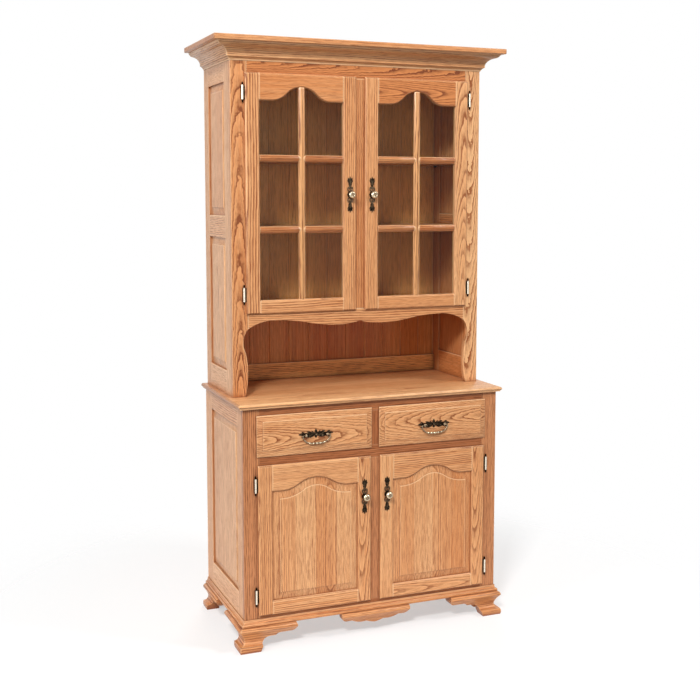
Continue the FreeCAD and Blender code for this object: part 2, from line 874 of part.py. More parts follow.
def hutch_case():
    half = "hutch_width / 2"
    inside = (f"-({half} - side_thick)", f"{half} - side_thick")
    face = (hutch_front, f"{hutch_front} + face_thick")
    deep = (f"{hutch_front} + face_thick", f"{rear} - back_thick")
    apron_low = "(niche_height - apron_end)"
    stile = slab(
        "hutch_left_stile",
        "XZ_Plane",
        [
            ("0", "0"),
            ("scallop_foot", "0"),
            ("scallop_turn", "scallop_turn_rise", "-scallop_swell"),
            ("hutch_stile", apron_low, "scallop_hollow"),
            ("hutch_stile", "hutch_height"),
            ("0", "hutch_height"),
        ],
        "face_thick",
        (f"-{half}", hutch_front, counter_top),
    )
    span = (negative(hutch_outer), hutch_outer)
    centre = (negative(hutch_inner), hutch_inner)
    right = [
        ("apron_lobe_reach", "-apron_lobe", "-(apron_lobe - apron_cusp) / 3"),
        ("apron_turn_reach", "-apron_turn", "-(apron_lobe - apron_turn) / 4"),
        ("apron_arch_reach", "-apron_arch", "(apron_turn - apron_arch) / 4"),
        (hutch_outer, "-apron_end", "(apron_end - apron_arch) / 3"),
    ]
    left = [
        (negative(hutch_outer), "-apron_end"),
        ("-apron_arch_reach", "-apron_arch", "(apron_end - apron_arch) / 3"),
        ("-apron_turn_reach", "-apron_turn", "(apron_turn - apron_arch) / 4"),
        ("-apron_lobe_reach", "-apron_lobe", "-(apron_lobe - apron_turn) / 4"),
        ("0", "-apron_cusp", "-(apron_lobe - apron_cusp) / 3"),
    ]
    apron = slab(
        "hutch_apron_board",
        "XZ_Plane",
        [*left, *right, (hutch_outer, "0"), (negative(hutch_outer), "0")],
        "face_thick",
        ("0", hutch_front, display_low),
    )
    frame = [
        stile,
        mirror(stile, "hutch_right_stile"),
        board("hutch_top_rail_piece", span, face, (display_top, hutch_top)),
        board("hutch_mullion_piece", centre, face, (display_low, display_top)),
    ]
    node(group("hutch_frame_pieces", frame), "hutch_face_frame")
    node(apron, "hutch_apron")

    glazing_low = f"({display_low} - door_lip + upper_door_bottom_rail)"
    depths = [
        f"{hutch_front} + face_thick + shelf_setback + shelf_pin_inset",
        f"{rear} - hutch_side_rear_stile / 2",
    ]
    pins = []
    shelves = []
    for name, rise in (("lower", "lower_muntin_rise"), ("upper", "upper_muntin_rise")):
        low = f"({glazing_low} + {rise} - shelf_thick / 2)"
        pins += shelf_pins(f"hutch_{name}", "hutch_width", low, depths)
        shelves.append(
            board(
                f"hutch_{name}_shelf",
                (f"{inside[0]} + shelf_play", f"{inside[1]} - shelf_play"),
                (f"{deep[0]} + shelf_setback", deep[1]),
                (low, f"{low} + shelf_thick"),
            )
        )
    node(group("hutch_shelf_boards", shelves), "hutch_shelves")

    rails = [
        (counter_top, f"({counter_top} + hutch_side_bottom_rail)"),
        (
            f"({counter_top} + hutch_side_mid_rise)",
            f"({counter_top} + hutch_side_mid_rise + hutch_side_mid_rail)",
        ),
        (f"({hutch_top} - hutch_side_top_rail)", hutch_top),
    ]
    stiles = ("hutch_side_front_stile", "hutch_side_rear_stile")
    holes = group("hutch_pins_left", pins)
    frame, panels = side("hutch_side", "hutch_width", hutch_front, stiles, rails, holes)
    node(frame, "hutch_left_side_frame")
    node(mirror(frame, "hutch_side_frame_right"), "hutch_right_side_frame")
    node(panels, "hutch_left_side_panels")
    node(mirror(panels, "hutch_side_panels_right"), "hutch_right_side_panels")

    hutch_back(inside)
    back_rail = board(
        "hutch_niche_rail",
        inside,
        (f"{rear} - back_thick - hutch_back_rail_thick", f"{rear} - back_thick"),
        (counter_top, f"{counter_top} + hutch_back_rail"),
    )
    node(back_rail, "hutch_back_rail")
    node(board("hutch_floor", inside, deep, (f"{display_low} - shelf_thick", display_low)), "hutch_deck")
    roof = board(
        "hutch_roof",
        (f"-{half} - top_overhang", f"{half} + top_overhang"),
        (f"{hutch_front} - top_overhang", rear),
        (hutch_top, f"{hutch_top} + top_thick"),
    )
    node(roof, "hutch_top")
    return pins


def hutch_back(inside):
    """Back sheet with upright V grooves on its face."""
    grooves = []
    count = int(value("(hutch_width / 2 - side_thick - groove_width) / groove_pitch"))
    for number in range(-count, count + 1):
        middle = f"(groove_pitch * {number})"
        grooves += [
            (f"{middle} - groove_width / 2", "0"),
            (middle, "groove_width / 2"),
            (f"{middle} + groove_width / 2", "0"),
        ]
    rear_face = [(inside[1], "back_thick"), (inside[0], "back_thick")]
    section = [(inside[0], "0"), *grooves, (inside[1], "0"), *rear_face]
    at = ("0", f"{rear} - back_thick", counter_top)
    node(slab("hutch_back", "XY_Plane", section, "hutch_height", at), "hutch_back_panel")


def crown():
    low = f"({hutch_top} - crown_small_cove - crown_bead - crown_cove_rise - crown_ovolo)"
    bead = f"({low} + crown_small_cove)"
    cove = f"({bead} + crown_bead)"
    ovolo = f"({cove} + crown_cove_rise)"
    shelf = "(crown_toe + crown_small_cove)"
    step = f"({shelf} + crown_cove_reach)"
    reach = f"({step} + crown_ovolo)"
    profile = [
        ("0", low),
        ("0", hutch_top),
        (reach, hutch_top),
        (step, ovolo, "-crown_ovolo / 5"),
        (shelf, cove, "crown_cove_rise / 4"),
        (shelf, bead),
        ("crown_toe", low, "crown_small_cove / 5"),
    ]
    node(mitred("crown", profile, "hutch_width", hutch_front, low, hutch_top, reach), "crown_moulding")


# Doors


def arch(half, low, high, rise, flat, grow="0"):
    """Cathedral-arched outline about x = 0, grown evenly by a distance on every side."""
    run = f"({half} - {flat})"
    square = f"({run}^2 + {rise}^2)"
    radius = f"({square} / (4 * {rise}))"
    sine = f"(2 * {rise} * {run} / {square})"
    cosine = f"(({run}^2 - {rise}^2) / {square})"
    shoulder = f"({high} - {rise} + ({grow}))"
    turn_x = f"({run} / 2 + ({grow}) * {sine})"
    turn_z = f"({high} - {rise} / 2 + ({grow}) * {cosine})"
    hollow_bow = f"(({radius} - ({grow})) * (1 - {run} / sqrt({square})))"
    crown_bow = f"(({radius} + ({grow})) * (1 - {cosine}))"
    edge = f"({half} + ({grow}))"
    return [
        (negative(edge), f"{low} - ({grow})"),
        (edge, f"{low} - ({grow})"),
        (edge, shoulder),
        (run, shoulder),
        (turn_x, turn_z, hollow_bow),
        (negative(turn_x), turn_z, negative(crown_bow)),
        (negative(run), shoulder, hollow_bow),
        (negative(edge), shoulder),
    ]


def lofted(body, lower, upper):
    feature = body.newObject("PartDesign::AdditiveLoft", f"{body.Name}_bevel")
    feature.Profile = lower
    feature.Sections = [upper]
    feature.Ruled = True
    return feature


class Door:
    """A left lipped door: its named edges, the arched opening in its frame and its hardware places."""

    def __init__(self, kind, wall, outer, inner, low, high):
        self.kind = kind
        self.wall = wall
        self.hole = ((f"-{outer}", f"-{inner}"), (low, high))
        self.left = f"(-{outer} - door_lip)"
        self.right = f"(-{inner} + door_lip)"
        self.low = f"({low} - door_lip)"
        self.high = f"({high} + door_lip)"
        self.face = f"({wall} - close_gap - lip_thick)"
        self.back = f"({self.face} + door_thick)"
        self.centre = f"(({self.left} + {self.right}) / 2)"
        self.stile = f"{kind}_door_stile"
        self.arch = (
            f"(({self.right} - {self.left}) / 2 - {self.stile})",
            f"({self.low} + {kind}_door_bottom_rail)",
            f"({self.high} - {kind}_door_top_rail)",
            f"{kind}_arch_rise",
            f"{kind}_arch_flat",
        )

    def name(self, piece):
        return f"{self.kind}_left_{piece}"

    def arched(self, piece, setback, depth, grow="0"):
        """An arched slab set back from the door's face."""
        return slab(
            self.name(piece),
            "XZ_Plane",
            arch(*self.arch, grow),
            depth,
            (self.centre, f"{self.face} + {setback}", "0"),
        )

    def opening(self):
        """The arched opening, bevelled towards the face."""
        body = doc.addObject("PartDesign::Body", self.name("opening"))
        plain = arch(*self.arch)
        pad(body, outline(body, "XZ_Plane", plain), "door_thick", back=True)
        flared = outline(body, "XZ_Plane", arch(*self.arch, "sticking"), "sticking")
        lofted(body, outline(body, "XZ_Plane", plain), flared)
        return place(body, self.centre, f"{self.face} + sticking", "0")

    def edge_waste(self):
        """What is planed off round the outer edges of the face."""
        around = board(
            self.name("edge_block"),
            (f"{self.left} - {MARGIN}", f"{self.right} + {MARGIN}"),
            (f"{self.face} - {MARGIN}", f"{self.face} + door_edge"),
            (f"{self.low} - {MARGIN}", f"{self.high} + {MARGIN}"),
        )
        width = f"({self.right} - {self.left})"
        depth = (self.face, f"{self.face} + door_edge")
        kept = tapered(self.name("edge_kept"), self.centre, width, self.low, self.high, "door_edge", depth)
        return cut(self.name("edge_waste"), around, kept)

    def frame(self, groove):
        """Stiles and rails, lipped round the back to fit the case's opening."""
        depth = (self.face, self.back)
        inner_left, inner_right = f"{self.left} + {self.stile}", f"{self.right} - {self.stile}"
        rail_low = f"{self.arch[2]} - {self.arch[3]} - {MARGIN}"
        boards = [
            board(self.name("hinge_stile"), (self.left, inner_left), depth, (self.low, self.high)),
            board(self.name("knob_stile"), (inner_right, self.right), depth, (self.low, self.high)),
            board(self.name("bottom_rail"), (inner_left, inner_right), depth, (self.low, self.arch[1])),
            board(self.name("top_rail"), (inner_left, inner_right), depth, (rail_low, self.high)),
        ]
        (hole_left, hole_right), (hole_low, hole_high) = self.hole
        plug = board(
            self.name("plug"),
            (f"{hole_left} + door_gap", f"{hole_right} - door_gap"),
            depth,
            (f"{hole_low} + door_gap", f"{hole_high} - door_gap"),
        )
        behind_lip = board(
            self.name("behind_lip"),
            (f"{self.left} - {MARGIN}", f"{self.right} + {MARGIN}"),
            (f"{self.face} + lip_thick", f"{self.back} + {MARGIN}"),
            (f"{self.low} - {MARGIN}", f"{self.high} + {MARGIN}"),
        )
        rebate = cut(self.name("rebate"), behind_lip, plug)
        lipped = cut(self.name("lipped"), group(self.name("boards"), boards), rebate)
        eased = cut(self.name("eased"), lipped, self.edge_waste())
        opened = cut(self.name("opened"), eased, self.opening())
        return cut(self.name("door_boards"), opened, groove)

    def hinge_heights(self):
        return [f"({self.low} + hinge_inset)", f"({self.high} - hinge_inset)"]

    def pin_axis(self):
        return f"({self.left} - hinge_offset)", f"({self.wall} - leaf_thick - knuckle_radius)"


def upper_door():
    door = Door("upper", hutch_front, hutch_outer, hutch_inner, display_low, display_top)
    glass_back = "(muntin_setback + muntin_depth)"
    groove = door.arched("glass_groove", glass_back, "glass_thick", "panel_groove")
    frame = door.frame(groove)
    glass = door.arched("glass_pane", glass_back, "glass_thick", "panel_groove - panel_play")
    half, low, high = door.arch[:3]
    y_front = f"{door.face} + muntin_setback"
    bar = [
        ("-muntin_width / 2", "muntin_depth"),
        ("-muntin_width / 2", "muntin_depth / 2"),
        ("-muntin_face / 2", "0"),
        ("muntin_face / 2", "0"),
        ("muntin_width / 2", "muntin_depth / 2"),
        ("muntin_width / 2", "muntin_depth"),
    ]
    upright = slab(door.name("upright"), "XY_Plane", bar, f"{high} - {low}", (door.centre, y_front, low))
    niche = door.arched("muntin_space", "muntin_setback", "muntin_depth")
    upright = trim(door.name("muntin_upright"), upright, niche)
    muntins = [upright]
    for rise in ("lower_muntin_rise", "upper_muntin_rise"):
        across = slab(
            door.name("across"),
            "YZ_Plane",
            [(depth, width) for width, depth in bar],
            f"2 * {half}",
            (f"{door.centre} - {half}", y_front, f"{low} + {rise}"),
        )
        muntins.append(cut(door.name("muntin_bars"), across, upright))
    knob_z = f"({door.low} + upper_knob_rise)"
    return door, {
        "door_frame": frame,
        "muntins": group(door.name("muntin_group"), muntins),
        "glass": glass,
        "knob": knob(door, knob_z),
    }


def lower_door():
    door = Door("lower", front, base_outer, base_inner, cupboard_low, cupboard_top)
    groove = door.arched("panel_groove", "tongue_setback", "tongue_thick", "panel_groove")
    frame = door.frame(groove)
    body = doc.addObject("PartDesign::Body", door.name("panel_body"))
    tongue = outline(body, "XZ_Plane", arch(*door.arch, "panel_groove - panel_play"))
    pad(body, tongue, "tongue_thick", back=True)
    brow = "tongue_setback - field_setback - field_step"
    field = arch(*door.arch, "-bevel_width")
    foot = outline(body, "XZ_Plane", arch(*door.arch))
    lofted(body, foot, outline(body, "XZ_Plane", field, brow))
    pad(body, outline(body, "XZ_Plane", field, brow), "field_step")
    place(body, door.centre, f"{door.face} + tongue_setback", "0")
    knob_z = f"({door.high} - lower_knob_drop)"
    return door, {
        "door_frame": frame,
        "door_panel": body,
        "knob": knob(door, knob_z),
    }


def knob(door, height):
    """A turned knob on a pierced backplate of lobes."""
    x = f"({door.right} - {door.stile} / 2)"
    end = "(plate_length / 2 - plate_lobe)"
    discs = [("boss", "0", "0", "plate_boss")]
    for way, tag in (("", "high"), ("-", "low")):
        leaf_z = f"{way}({end} - plate_leaf_drop)"
        bud_z = f"{way}({end} - plate_bud_drop)"
        discs += [
            (f"{tag}_tip", "0", f"{way}{end}", "plate_lobe"),
            (f"{tag}_right_leaf", "plate_leaf_spread", leaf_z, "plate_leaf"),
            (f"{tag}_left_leaf", "-plate_leaf_spread", leaf_z, "plate_leaf"),
            (f"{tag}_right_bud", "plate_bud_spread", bud_z, "plate_bud"),
            (f"{tag}_left_bud", "-plate_bud_spread", bud_z, "plate_bud"),
        ]
    pieces = [
        cylinder(
            door.name(f"plate_{tag}"),
            radius,
            "plate_thick",
            (f"{x} + {dx}", door.face, f"{height} + {dz}"),
            "out",
        )
        for tag, dx, dz, radius in discs
    ]
    pieces.append(
        board(
            door.name("plate_neck"),
            (f"{x} - plate_neck / 2", f"{x} + plate_neck / 2"),
            (f"{door.face} - plate_thick", door.face),
            (f"{height} - {end}", f"{height} + {end}"),
        )
    )
    plate = fuse(door.name("plate"), pieces)
    reach = "(knob_reach - plate_thick)"
    head = [
        ("0", "0"),
        ("0", f"-{reach}"),
        ("knob_crown", f"knob_crown_fall - {reach}", "-knob_radius / 40"),
        ("knob_radius", "-knob_belly_rise", "-knob_radius / 8"),
        ("knob_under", "-knob_under_rise", "-knob_radius / 8"),
        ("knob_neck", "-knob_neck_top", "knob_radius / 40"),
        ("knob_neck", "-knob_neck_low"),
        ("knob_base", "-knob_foot"),
        ("knob_base", "0"),
    ]
    head = turned(door.name("turned_knob"), head, (x, f"{door.face} - plate_thick", height))
    return group(door.name("knob_group"), [plate, head])


def finial(door, x, y, z):
    """An egg-shaped tip of a hinge pin."""
    egg = doc.addObject("Part::Ellipsoid", door.name("finial"))
    bind(egg, Radius1="finial_height / 2", Radius2="finial_radius", Radius3="finial_radius")
    return place(egg, x, y, z)


def hinges(doors):
    """Frame leaves and pins of the left doors, and each door's own leaves."""
    leaves, pins, door_leaves = [], [], {}
    side_height = "((knuckle_height - knuckle_door) / 2 - close_gap)"
    for door in doors:
        x, y = door.pin_axis()
        door_leaves[door.kind] = []
        for height in door.hinge_heights():
            low = f"({height} - knuckle_height / 2)"
            high = f"({height} + knuckle_height / 2)"
            pin_length = "knuckle_height + 2 * finial_seat"
            pin_start = (x, y, f"{low} - finial_seat")
            pin = cylinder(door.name("pin_bar"), "hinge_pin_radius", pin_length, pin_start)
            finials = [finial(door, x, y, f"{high} + finial_height / 2")]
            finials.append(finial(door, x, y, f"{low} - finial_height / 2"))
            pins.append(fuse(door.name("hinge_pin"), [pin, *finials]))
            barrel = [
                cylinder(door.name("knuckle"), "knuckle_radius", side_height, (x, y, start))
                for start in (low, f"{high} - {side_height}")
            ]
            plate = board(
                door.name("frame_plate"),
                (f"{x} - leaf_reach", f"{x} + leaf_reach"),
                (f"{door.wall} - leaf_thick", door.wall),
                (low, high),
            )
            webs = [
                board(
                    door.name("knuckle_web"),
                    (f"{x} - leaf_thick", f"{x} + leaf_thick"),
                    (y, f"{door.wall} - leaf_thick"),
                    (start, f"{start} + {side_height}"),
                )
                for start in (low, f"{high} - {side_height}")
            ]
            solid = fuse(door.name("frame_leaf_solid"), [plate, *barrel, *webs])
            bore = cylinder(door.name("frame_bore"), "hinge_pin_radius", "knuckle_height", (x, y, low))
            leaves.append(cut(door.name("frame_leaf"), solid, bore))
            door_leaves[door.kind].append(door_leaf(door, height, low, high))
    return leaves, pins, door_leaves


def door_leaf(door, height, low, high):
    """The leaf along the door's edge and the middle knuckle that turns on the pin."""
    x, y = door.pin_axis()
    middle = f"({height} - knuckle_door / 2)"
    knuckle = cylinder(door.name("door_knuckle"), "knuckle_radius", "knuckle_door", (x, y, middle))
    web = board(
        door.name("door_web"),
        (x, door.left),
        (f"{y} - leaf_thick / 2", f"{y} + leaf_thick / 2"),
        (middle, f"{middle} + knuckle_door"),
    )
    flange = board(
        door.name("door_flange"),
        (f"{door.left} - leaf_thick", door.left),
        (f"{door.face} + door_edge", f"{door.face} + lip_thick"),
        (low, high),
    )
    solid = fuse(door.name("door_leaf_solid"), [knuckle, web, flange])
    bore = cylinder(
        door.name("door_bore"), "hinge_pin_radius + pin_play", "knuckle_door", (x, y, middle)
    )
    return cut(door.name("door_leaf"), solid, bore)


# Drawers


def drawer():
    """The left drawer: lipped front, box, bottom, pull plate and bail."""
    hole = (f"-{base_outer}", f"-{base_inner}")
    left, right = f"({hole[0]} - drawer_lip)", f"({hole[1]} + drawer_lip)"
    low, high = f"({drawer_low} - drawer_lip)", f"({drawer_top} + drawer_lip)"
    seat = f"({front} - close_gap)"
    face = f"({seat} - lip_thick)"
    behind = f"({face} + door_thick)"
    centre = f"(({left} + {right}) / 2)"
    lip = board("drawer_lip_board", (left, right), (f"{seat} - drawer_edge", seat), (low, high))
    plug = board(
        "drawer_plug",
        (f"{hole[0]} + door_gap", f"{hole[1]} - door_gap"),
        (f"{seat} - drawer_edge", behind),
        (f"{drawer_low} + door_gap", f"{drawer_top} - door_gap"),
    )
    faces = (f"{seat} - drawer_edge", f"{face} + field_step", face)
    border = raised("drawer_front", centre, f"({right} - {left})", low, high, "drawer_bevel", faces)
    front_board = fuse("drawer_front_board", [lip, plug, *border])

    side_low = f"({drawer_low} + drawer_play)"
    side_high = f"({side_low} + drawer_side_height)"
    depth = (behind, f"({behind} + drawer_depth)")
    box_left, box_right = f"({hole[0]} + drawer_play)", f"({hole[1]} - drawer_play)"
    inner = (f"({box_left} + drawer_side)", f"({box_right} - drawer_side)")
    bottom_low = f"({side_low} + drawer_bottom_rise)"
    bottom_top = f"({bottom_low} + drawer_bottom_thick)"
    boards = [
        board("drawer_left_side", (box_left, inner[0]), depth, (side_low, side_high)),
        board("drawer_right_side", (inner[1], box_right), depth, (side_low, side_high)),
        board(
            "drawer_back_board",
            inner,
            (f"{depth[1]} - drawer_side", depth[1]),
            (bottom_top, f"{bottom_top} + drawer_back_height"),
        ),
    ]
    bottom = board(
        "drawer_bottom_board",
        (f"{inner[0]} - drawer_bottom_groove", f"{inner[1]} + drawer_bottom_groove"),
        depth,
        (bottom_low, bottom_top),
    )
    box = cut("drawer_box_boards", group("drawer_boards", boards), bottom)
    plate, bail = pull(centre, face, f"(({low} + {high}) / 2 - pull_lower)")
    return {"front": front_board, "box": box, "bottom": bottom, "pull_plate": plate, "bail": bail}


def pull(x, face, z):
    """A leaf-shaped backplate with two posts, and the bail that hangs from them."""
    lobes = [
        ("palmette", "0", "palmette_rise", "palmette_radius"),
        ("crest", "0", "crest_rise", "crest_radius"),
        ("pendant", "0", "-pendant_fall", "pendant_radius"),
    ]
    for way, tag in (("", "right"), ("-", "left")):
        lobes += [
            (f"{tag}_scroll", f"{way}scroll_spread", "scroll_rise", "scroll_radius"),
            (f"{tag}_frond", f"{way}frond_spread", "frond_rise", "frond_radius"),
            (f"{tag}_eye", f"{way}post_spacing / 2", "0", "eye_radius"),
        ]
    pieces = [
        cylinder(f"pull_{tag}", radius, "plate_thick", (f"{x} + {dx}", face, f"{z} + {dz}"), "out")
        for tag, dx, dz, radius in lobes
    ]
    blade = slab(
        "pull_blade",
        "XZ_Plane",
        [
            ("0", "-blade_height / 2", "-blade_height / 6"),
            ("pull_width / 2", "0", "-blade_height / 6"),
            ("0", "blade_height / 2", "-blade_height / 6"),
            ("-pull_width / 2", "0", "-blade_height / 6"),
        ],
        "plate_thick",
        (x, f"{face} - plate_thick", z),
    )
    pivot = f"({face} - post_reach + post_radius)"
    eyes = []
    holes = []
    stubs = []
    outside = "(bail_gap + bail_radius)"
    left_post = f"({x} - post_spacing / 2)"
    right_post = f"({x} + post_spacing / 2)"
    for tag, post_x, stub_x, bore_x in (
        (
            "left",
            left_post,
            f"{left_post} - post_radius - {outside}",
            f"{left_post} - post_radius - {MARGIN}",
        ),
        (
            "right",
            right_post,
            f"{right_post} + post_radius - bail_pivot_inset",
            f"{right_post} + post_radius - bail_pivot_inset",
        ),
    ):
        eyes.append(cylinder(f"pull_{tag}_post", "post_radius", "post_reach", (post_x, face, z), "out"))
        stub_length = f"bail_pivot_inset + {outside}"
        stub_at = (stub_x, pivot, z)
        stubs.append(cylinder(f"bail_{tag}_pivot", "bail_pivot_radius", stub_length, stub_at, "x"))
        bore_length = f"bail_pivot_inset + {MARGIN}"
        bore_at = (bore_x, pivot, z)
        holes.append(cylinder(f"pull_{tag}_bore", "bail_pivot_radius + pin_play", bore_length, bore_at, "x"))
    solid = fuse("pull_plate_solid", [blade, *pieces, *eyes])
    plate = cut("pull_plate_pierced", solid, group("pull_bores", holes))

    spread = "(post_spacing / 2 + post_radius + bail_radius + bail_gap)"
    bend = f"(({spread}^2 + bail_drop^2) / (2 * bail_drop))"
    body = doc.addObject("PartDesign::Body", "bail_bow")
    bow = body.newObject("PartDesign::Revolution", "bail_bow_bend")
    bow.Profile = ring(body, "YZ_Plane", ("0", f"-{bend}"), "bail_radius")
    bow.ReferenceAxis = (origin_feature(body, "Y_Axis"), [""])
    bow.Midplane = True
    bind(bow, Angle=f"2 * asin({spread} / {bend})")
    place(body, x, pivot, f"{z} - bail_drop + {bend}")
    return plate, fuse("bail_solid", [body, *stubs])


def build():
    pins = base_case()
    drawer_runners()
    countertop()
    base_moulding()
    feet()
    centre_drop()
    pins += hutch_case()
    crown()
    node(group("all_shelf_pins", pins + [mirror(pin, f"{pin.Name}_right") for pin in pins]), "shelf_pins")

    doors = [upper_door(), lower_door()]
    leaves, hinge_pins, door_leaves = hinges([door for door, _ in doors])
    for label, pieces in (("hinge_frame_leaves", leaves), ("hinge_pins", hinge_pins)):
        both_sides = pieces + [mirror(piece, f"{piece.Name}_right") for piece in pieces]
        node(group(f"all_{label}", both_sides), label)
    for door, pieces in doors:
        pieces["hinge_leaves"] = group(door.name("leaf_group"), door_leaves[door.kind])
        for piece, shape in pieces.items():
            node(shape, f"{door.kind}_left_{piece}")
            node(mirror(shape, f"{shape.Name}_mirrored"), f"{door.kind}_right_{piece}")
    for piece, shape in drawer().items():
        node(shape, f"left_drawer_{piece}")
        node(mirror(shape, f"{shape.Name}_mirrored"), f"right_drawer_{piece}")


build()
doc.recompute()

failed = [thing.Name for thing in doc.Objects if {"Invalid", "Error"} & set(thing.State)]
if failed:
    raise RuntimeError(f"failed objects: {failed}")
for piece in nodes:
    if piece.Shape.isNull() or not piece.Shape.isValid() or not piece.Shape.Solids:
        raise RuntimeError(f"no sound shape: {piece.Label}")

os.makedirs("parts", exist_ok=True)
for piece in nodes:
    piece.Shape.exportStep(f"parts/{piece.Label}.step")
print(len(nodes), "nodes written")
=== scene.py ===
import json
import math
import random

import bmesh
import bpy
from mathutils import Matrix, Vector

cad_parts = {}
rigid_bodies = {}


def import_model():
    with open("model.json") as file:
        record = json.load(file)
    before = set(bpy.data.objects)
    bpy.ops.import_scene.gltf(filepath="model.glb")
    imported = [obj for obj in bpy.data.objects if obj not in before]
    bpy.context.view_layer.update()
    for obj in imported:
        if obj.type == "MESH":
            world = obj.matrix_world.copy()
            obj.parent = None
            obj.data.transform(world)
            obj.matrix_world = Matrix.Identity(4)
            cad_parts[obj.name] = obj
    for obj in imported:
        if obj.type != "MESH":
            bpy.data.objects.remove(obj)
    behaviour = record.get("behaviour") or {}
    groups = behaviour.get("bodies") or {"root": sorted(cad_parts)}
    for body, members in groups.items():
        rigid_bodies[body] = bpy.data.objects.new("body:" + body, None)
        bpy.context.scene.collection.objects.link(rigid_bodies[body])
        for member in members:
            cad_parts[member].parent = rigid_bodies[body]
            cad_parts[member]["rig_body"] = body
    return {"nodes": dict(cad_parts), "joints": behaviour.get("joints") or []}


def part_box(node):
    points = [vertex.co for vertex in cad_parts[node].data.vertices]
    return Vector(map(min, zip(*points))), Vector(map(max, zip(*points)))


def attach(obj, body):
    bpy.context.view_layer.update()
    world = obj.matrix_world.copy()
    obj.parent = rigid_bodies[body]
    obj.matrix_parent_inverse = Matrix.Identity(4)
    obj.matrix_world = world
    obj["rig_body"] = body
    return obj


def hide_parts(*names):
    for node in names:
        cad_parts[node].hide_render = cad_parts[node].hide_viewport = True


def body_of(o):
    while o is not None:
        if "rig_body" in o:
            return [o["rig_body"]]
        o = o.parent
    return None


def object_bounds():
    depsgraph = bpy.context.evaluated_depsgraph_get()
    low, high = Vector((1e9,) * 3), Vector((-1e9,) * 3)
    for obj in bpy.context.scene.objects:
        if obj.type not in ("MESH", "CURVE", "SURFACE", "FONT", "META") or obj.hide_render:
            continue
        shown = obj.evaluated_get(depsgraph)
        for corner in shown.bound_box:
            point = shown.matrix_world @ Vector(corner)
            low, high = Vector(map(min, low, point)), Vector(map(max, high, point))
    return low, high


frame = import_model()
nodes = frame["nodes"]
bodyOf = {node: body_of(nodes[node])[0] for node in nodes}
cadLow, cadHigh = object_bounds()
print("frame loaded:", len(nodes), "nodes")

mm = 0.001


# Shader wiring
def pick(sockets, key):  # a socket by its place, its identifier or its name
    if isinstance(key, int):
        return sockets[key]
    return next((s for s in sockets if s.identifier == key), None) or sockets[key]


class Wire:  # one shader socket that can take part in sums
    def __init__(self, tree, socket=None):
        self.tree = tree
        self.socket = socket

    def node(self, kind, settings=None, sockets=None, output=0):
        made = self.tree.nodes.new(kind)
        for name, setting in (settings or {}).items():
            setattr(made, name, setting)
        for key, given in (sockets or {}).items():
            if isinstance(given, Wire):
                self.tree.links.new(given.socket, pick(made.inputs, key))
            else:
                pick(made.inputs, key).default_value = given
        return Wire(self.tree, pick(made.outputs, output) if len(made.outputs) else None)

    def other(self, output):  # another output of the same node
        return Wire(self.tree, pick(self.socket.node.outputs, output))

    def maths(self, operation, *values):
        return self.node("ShaderNodeMath", {"operation": operation}, dict(enumerate(values)))

    def __add__(self, other):
        return self.maths("ADD", self, other)

    def __radd__(self, other):
        return self.maths("ADD", other, self)

    def __sub__(self, other):
        return self.maths("SUBTRACT", self, other)

    def __rsub__(self, other):
        return self.maths("SUBTRACT", other, self)

    def __mul__(self, other):
        return self.maths("MULTIPLY", self, other)

    def __rmul__(self, other):
        return self.maths("MULTIPLY", other, self)

    def __truediv__(self, other):
        return self.maths("DIVIDE", self, other)

    def __rtruediv__(self, other):
        return self.maths("DIVIDE", other, self)

    def __pow__(self, other):
        return self.maths("POWER", self, other)

    def __rpow__(self, other):
        return self.maths("POWER", other, self)

    def floor(self):
        return self.maths("FLOOR", self)

    def fraction(self):
        return self.maths("FRACT", self)

    def clamped(self):
        return self.node("ShaderNodeClamp", {}, {"Value": self})

    def eased(self, low, high):  # 0 below low, 1 above high, smooth between
        return self.node(
            "ShaderNodeMapRange",
            {"interpolation_type": "SMOOTHSTEP"},
            {"Value": self, "From Min": low, "From Max": high},
        )

    def mixed(self, first, second):  # this value is the share of the second colour
        return self.node(
            "ShaderNodeMix",
            {"data_type": "RGBA"},
            {"Factor_Float": self, "A_Color": first, "B_Color": second},
            "Result_Color",
        )

    def vector(self, x, y, z):
        return self.node("ShaderNodeCombineXYZ", {}, {0: x, 1: y, 2: z})

    def noise(self, place, detail=2.0):  # about 0 to 1, one blob to the unit
        sockets = {"Vector": place, "Scale": 1.0, "Detail": detail}
        return self.node("ShaderNodeTexNoise", {}, sockets, "Fac")

    def dice(self, first, second):  # three even chances for each whole pair of numbers
        sockets = {"Vector": self.vector(first, second, 0.0)}
        colour = self.node("ShaderNodeTexWhiteNoise", {"noise_dimensions": "2D"}, sockets, "Color")
        split = self.node("ShaderNodeSeparateXYZ", {}, {"Vector": colour})
        return split, split.other("Y"), split.other("Z")

    def attribute(self, name, output):
        return self.node("ShaderNodeAttribute", {"attribute_name": name}, {}, output)


def newMaterial(name):
    made = bpy.data.materials.new(name)
    made.use_nodes = True
    made.node_tree.nodes.clear()
    return made, Wire(made.node_tree)


def surface(wire, shader):
    wire.node("ShaderNodeOutputMaterial", {}, {"Surface": shader})


def screenLight(level):  # what a screen level from 0 to 1 shines with
    if level < 0.04045:
        return level / 12.92
    return ((level + 0.055) / 1.055) ** 2.4


def paint(red, green, blue):  # a colour as seen on a screen, 0 to 255
    return [screenLight(level / 255) for level in (red, green, blue)] + [1.0]


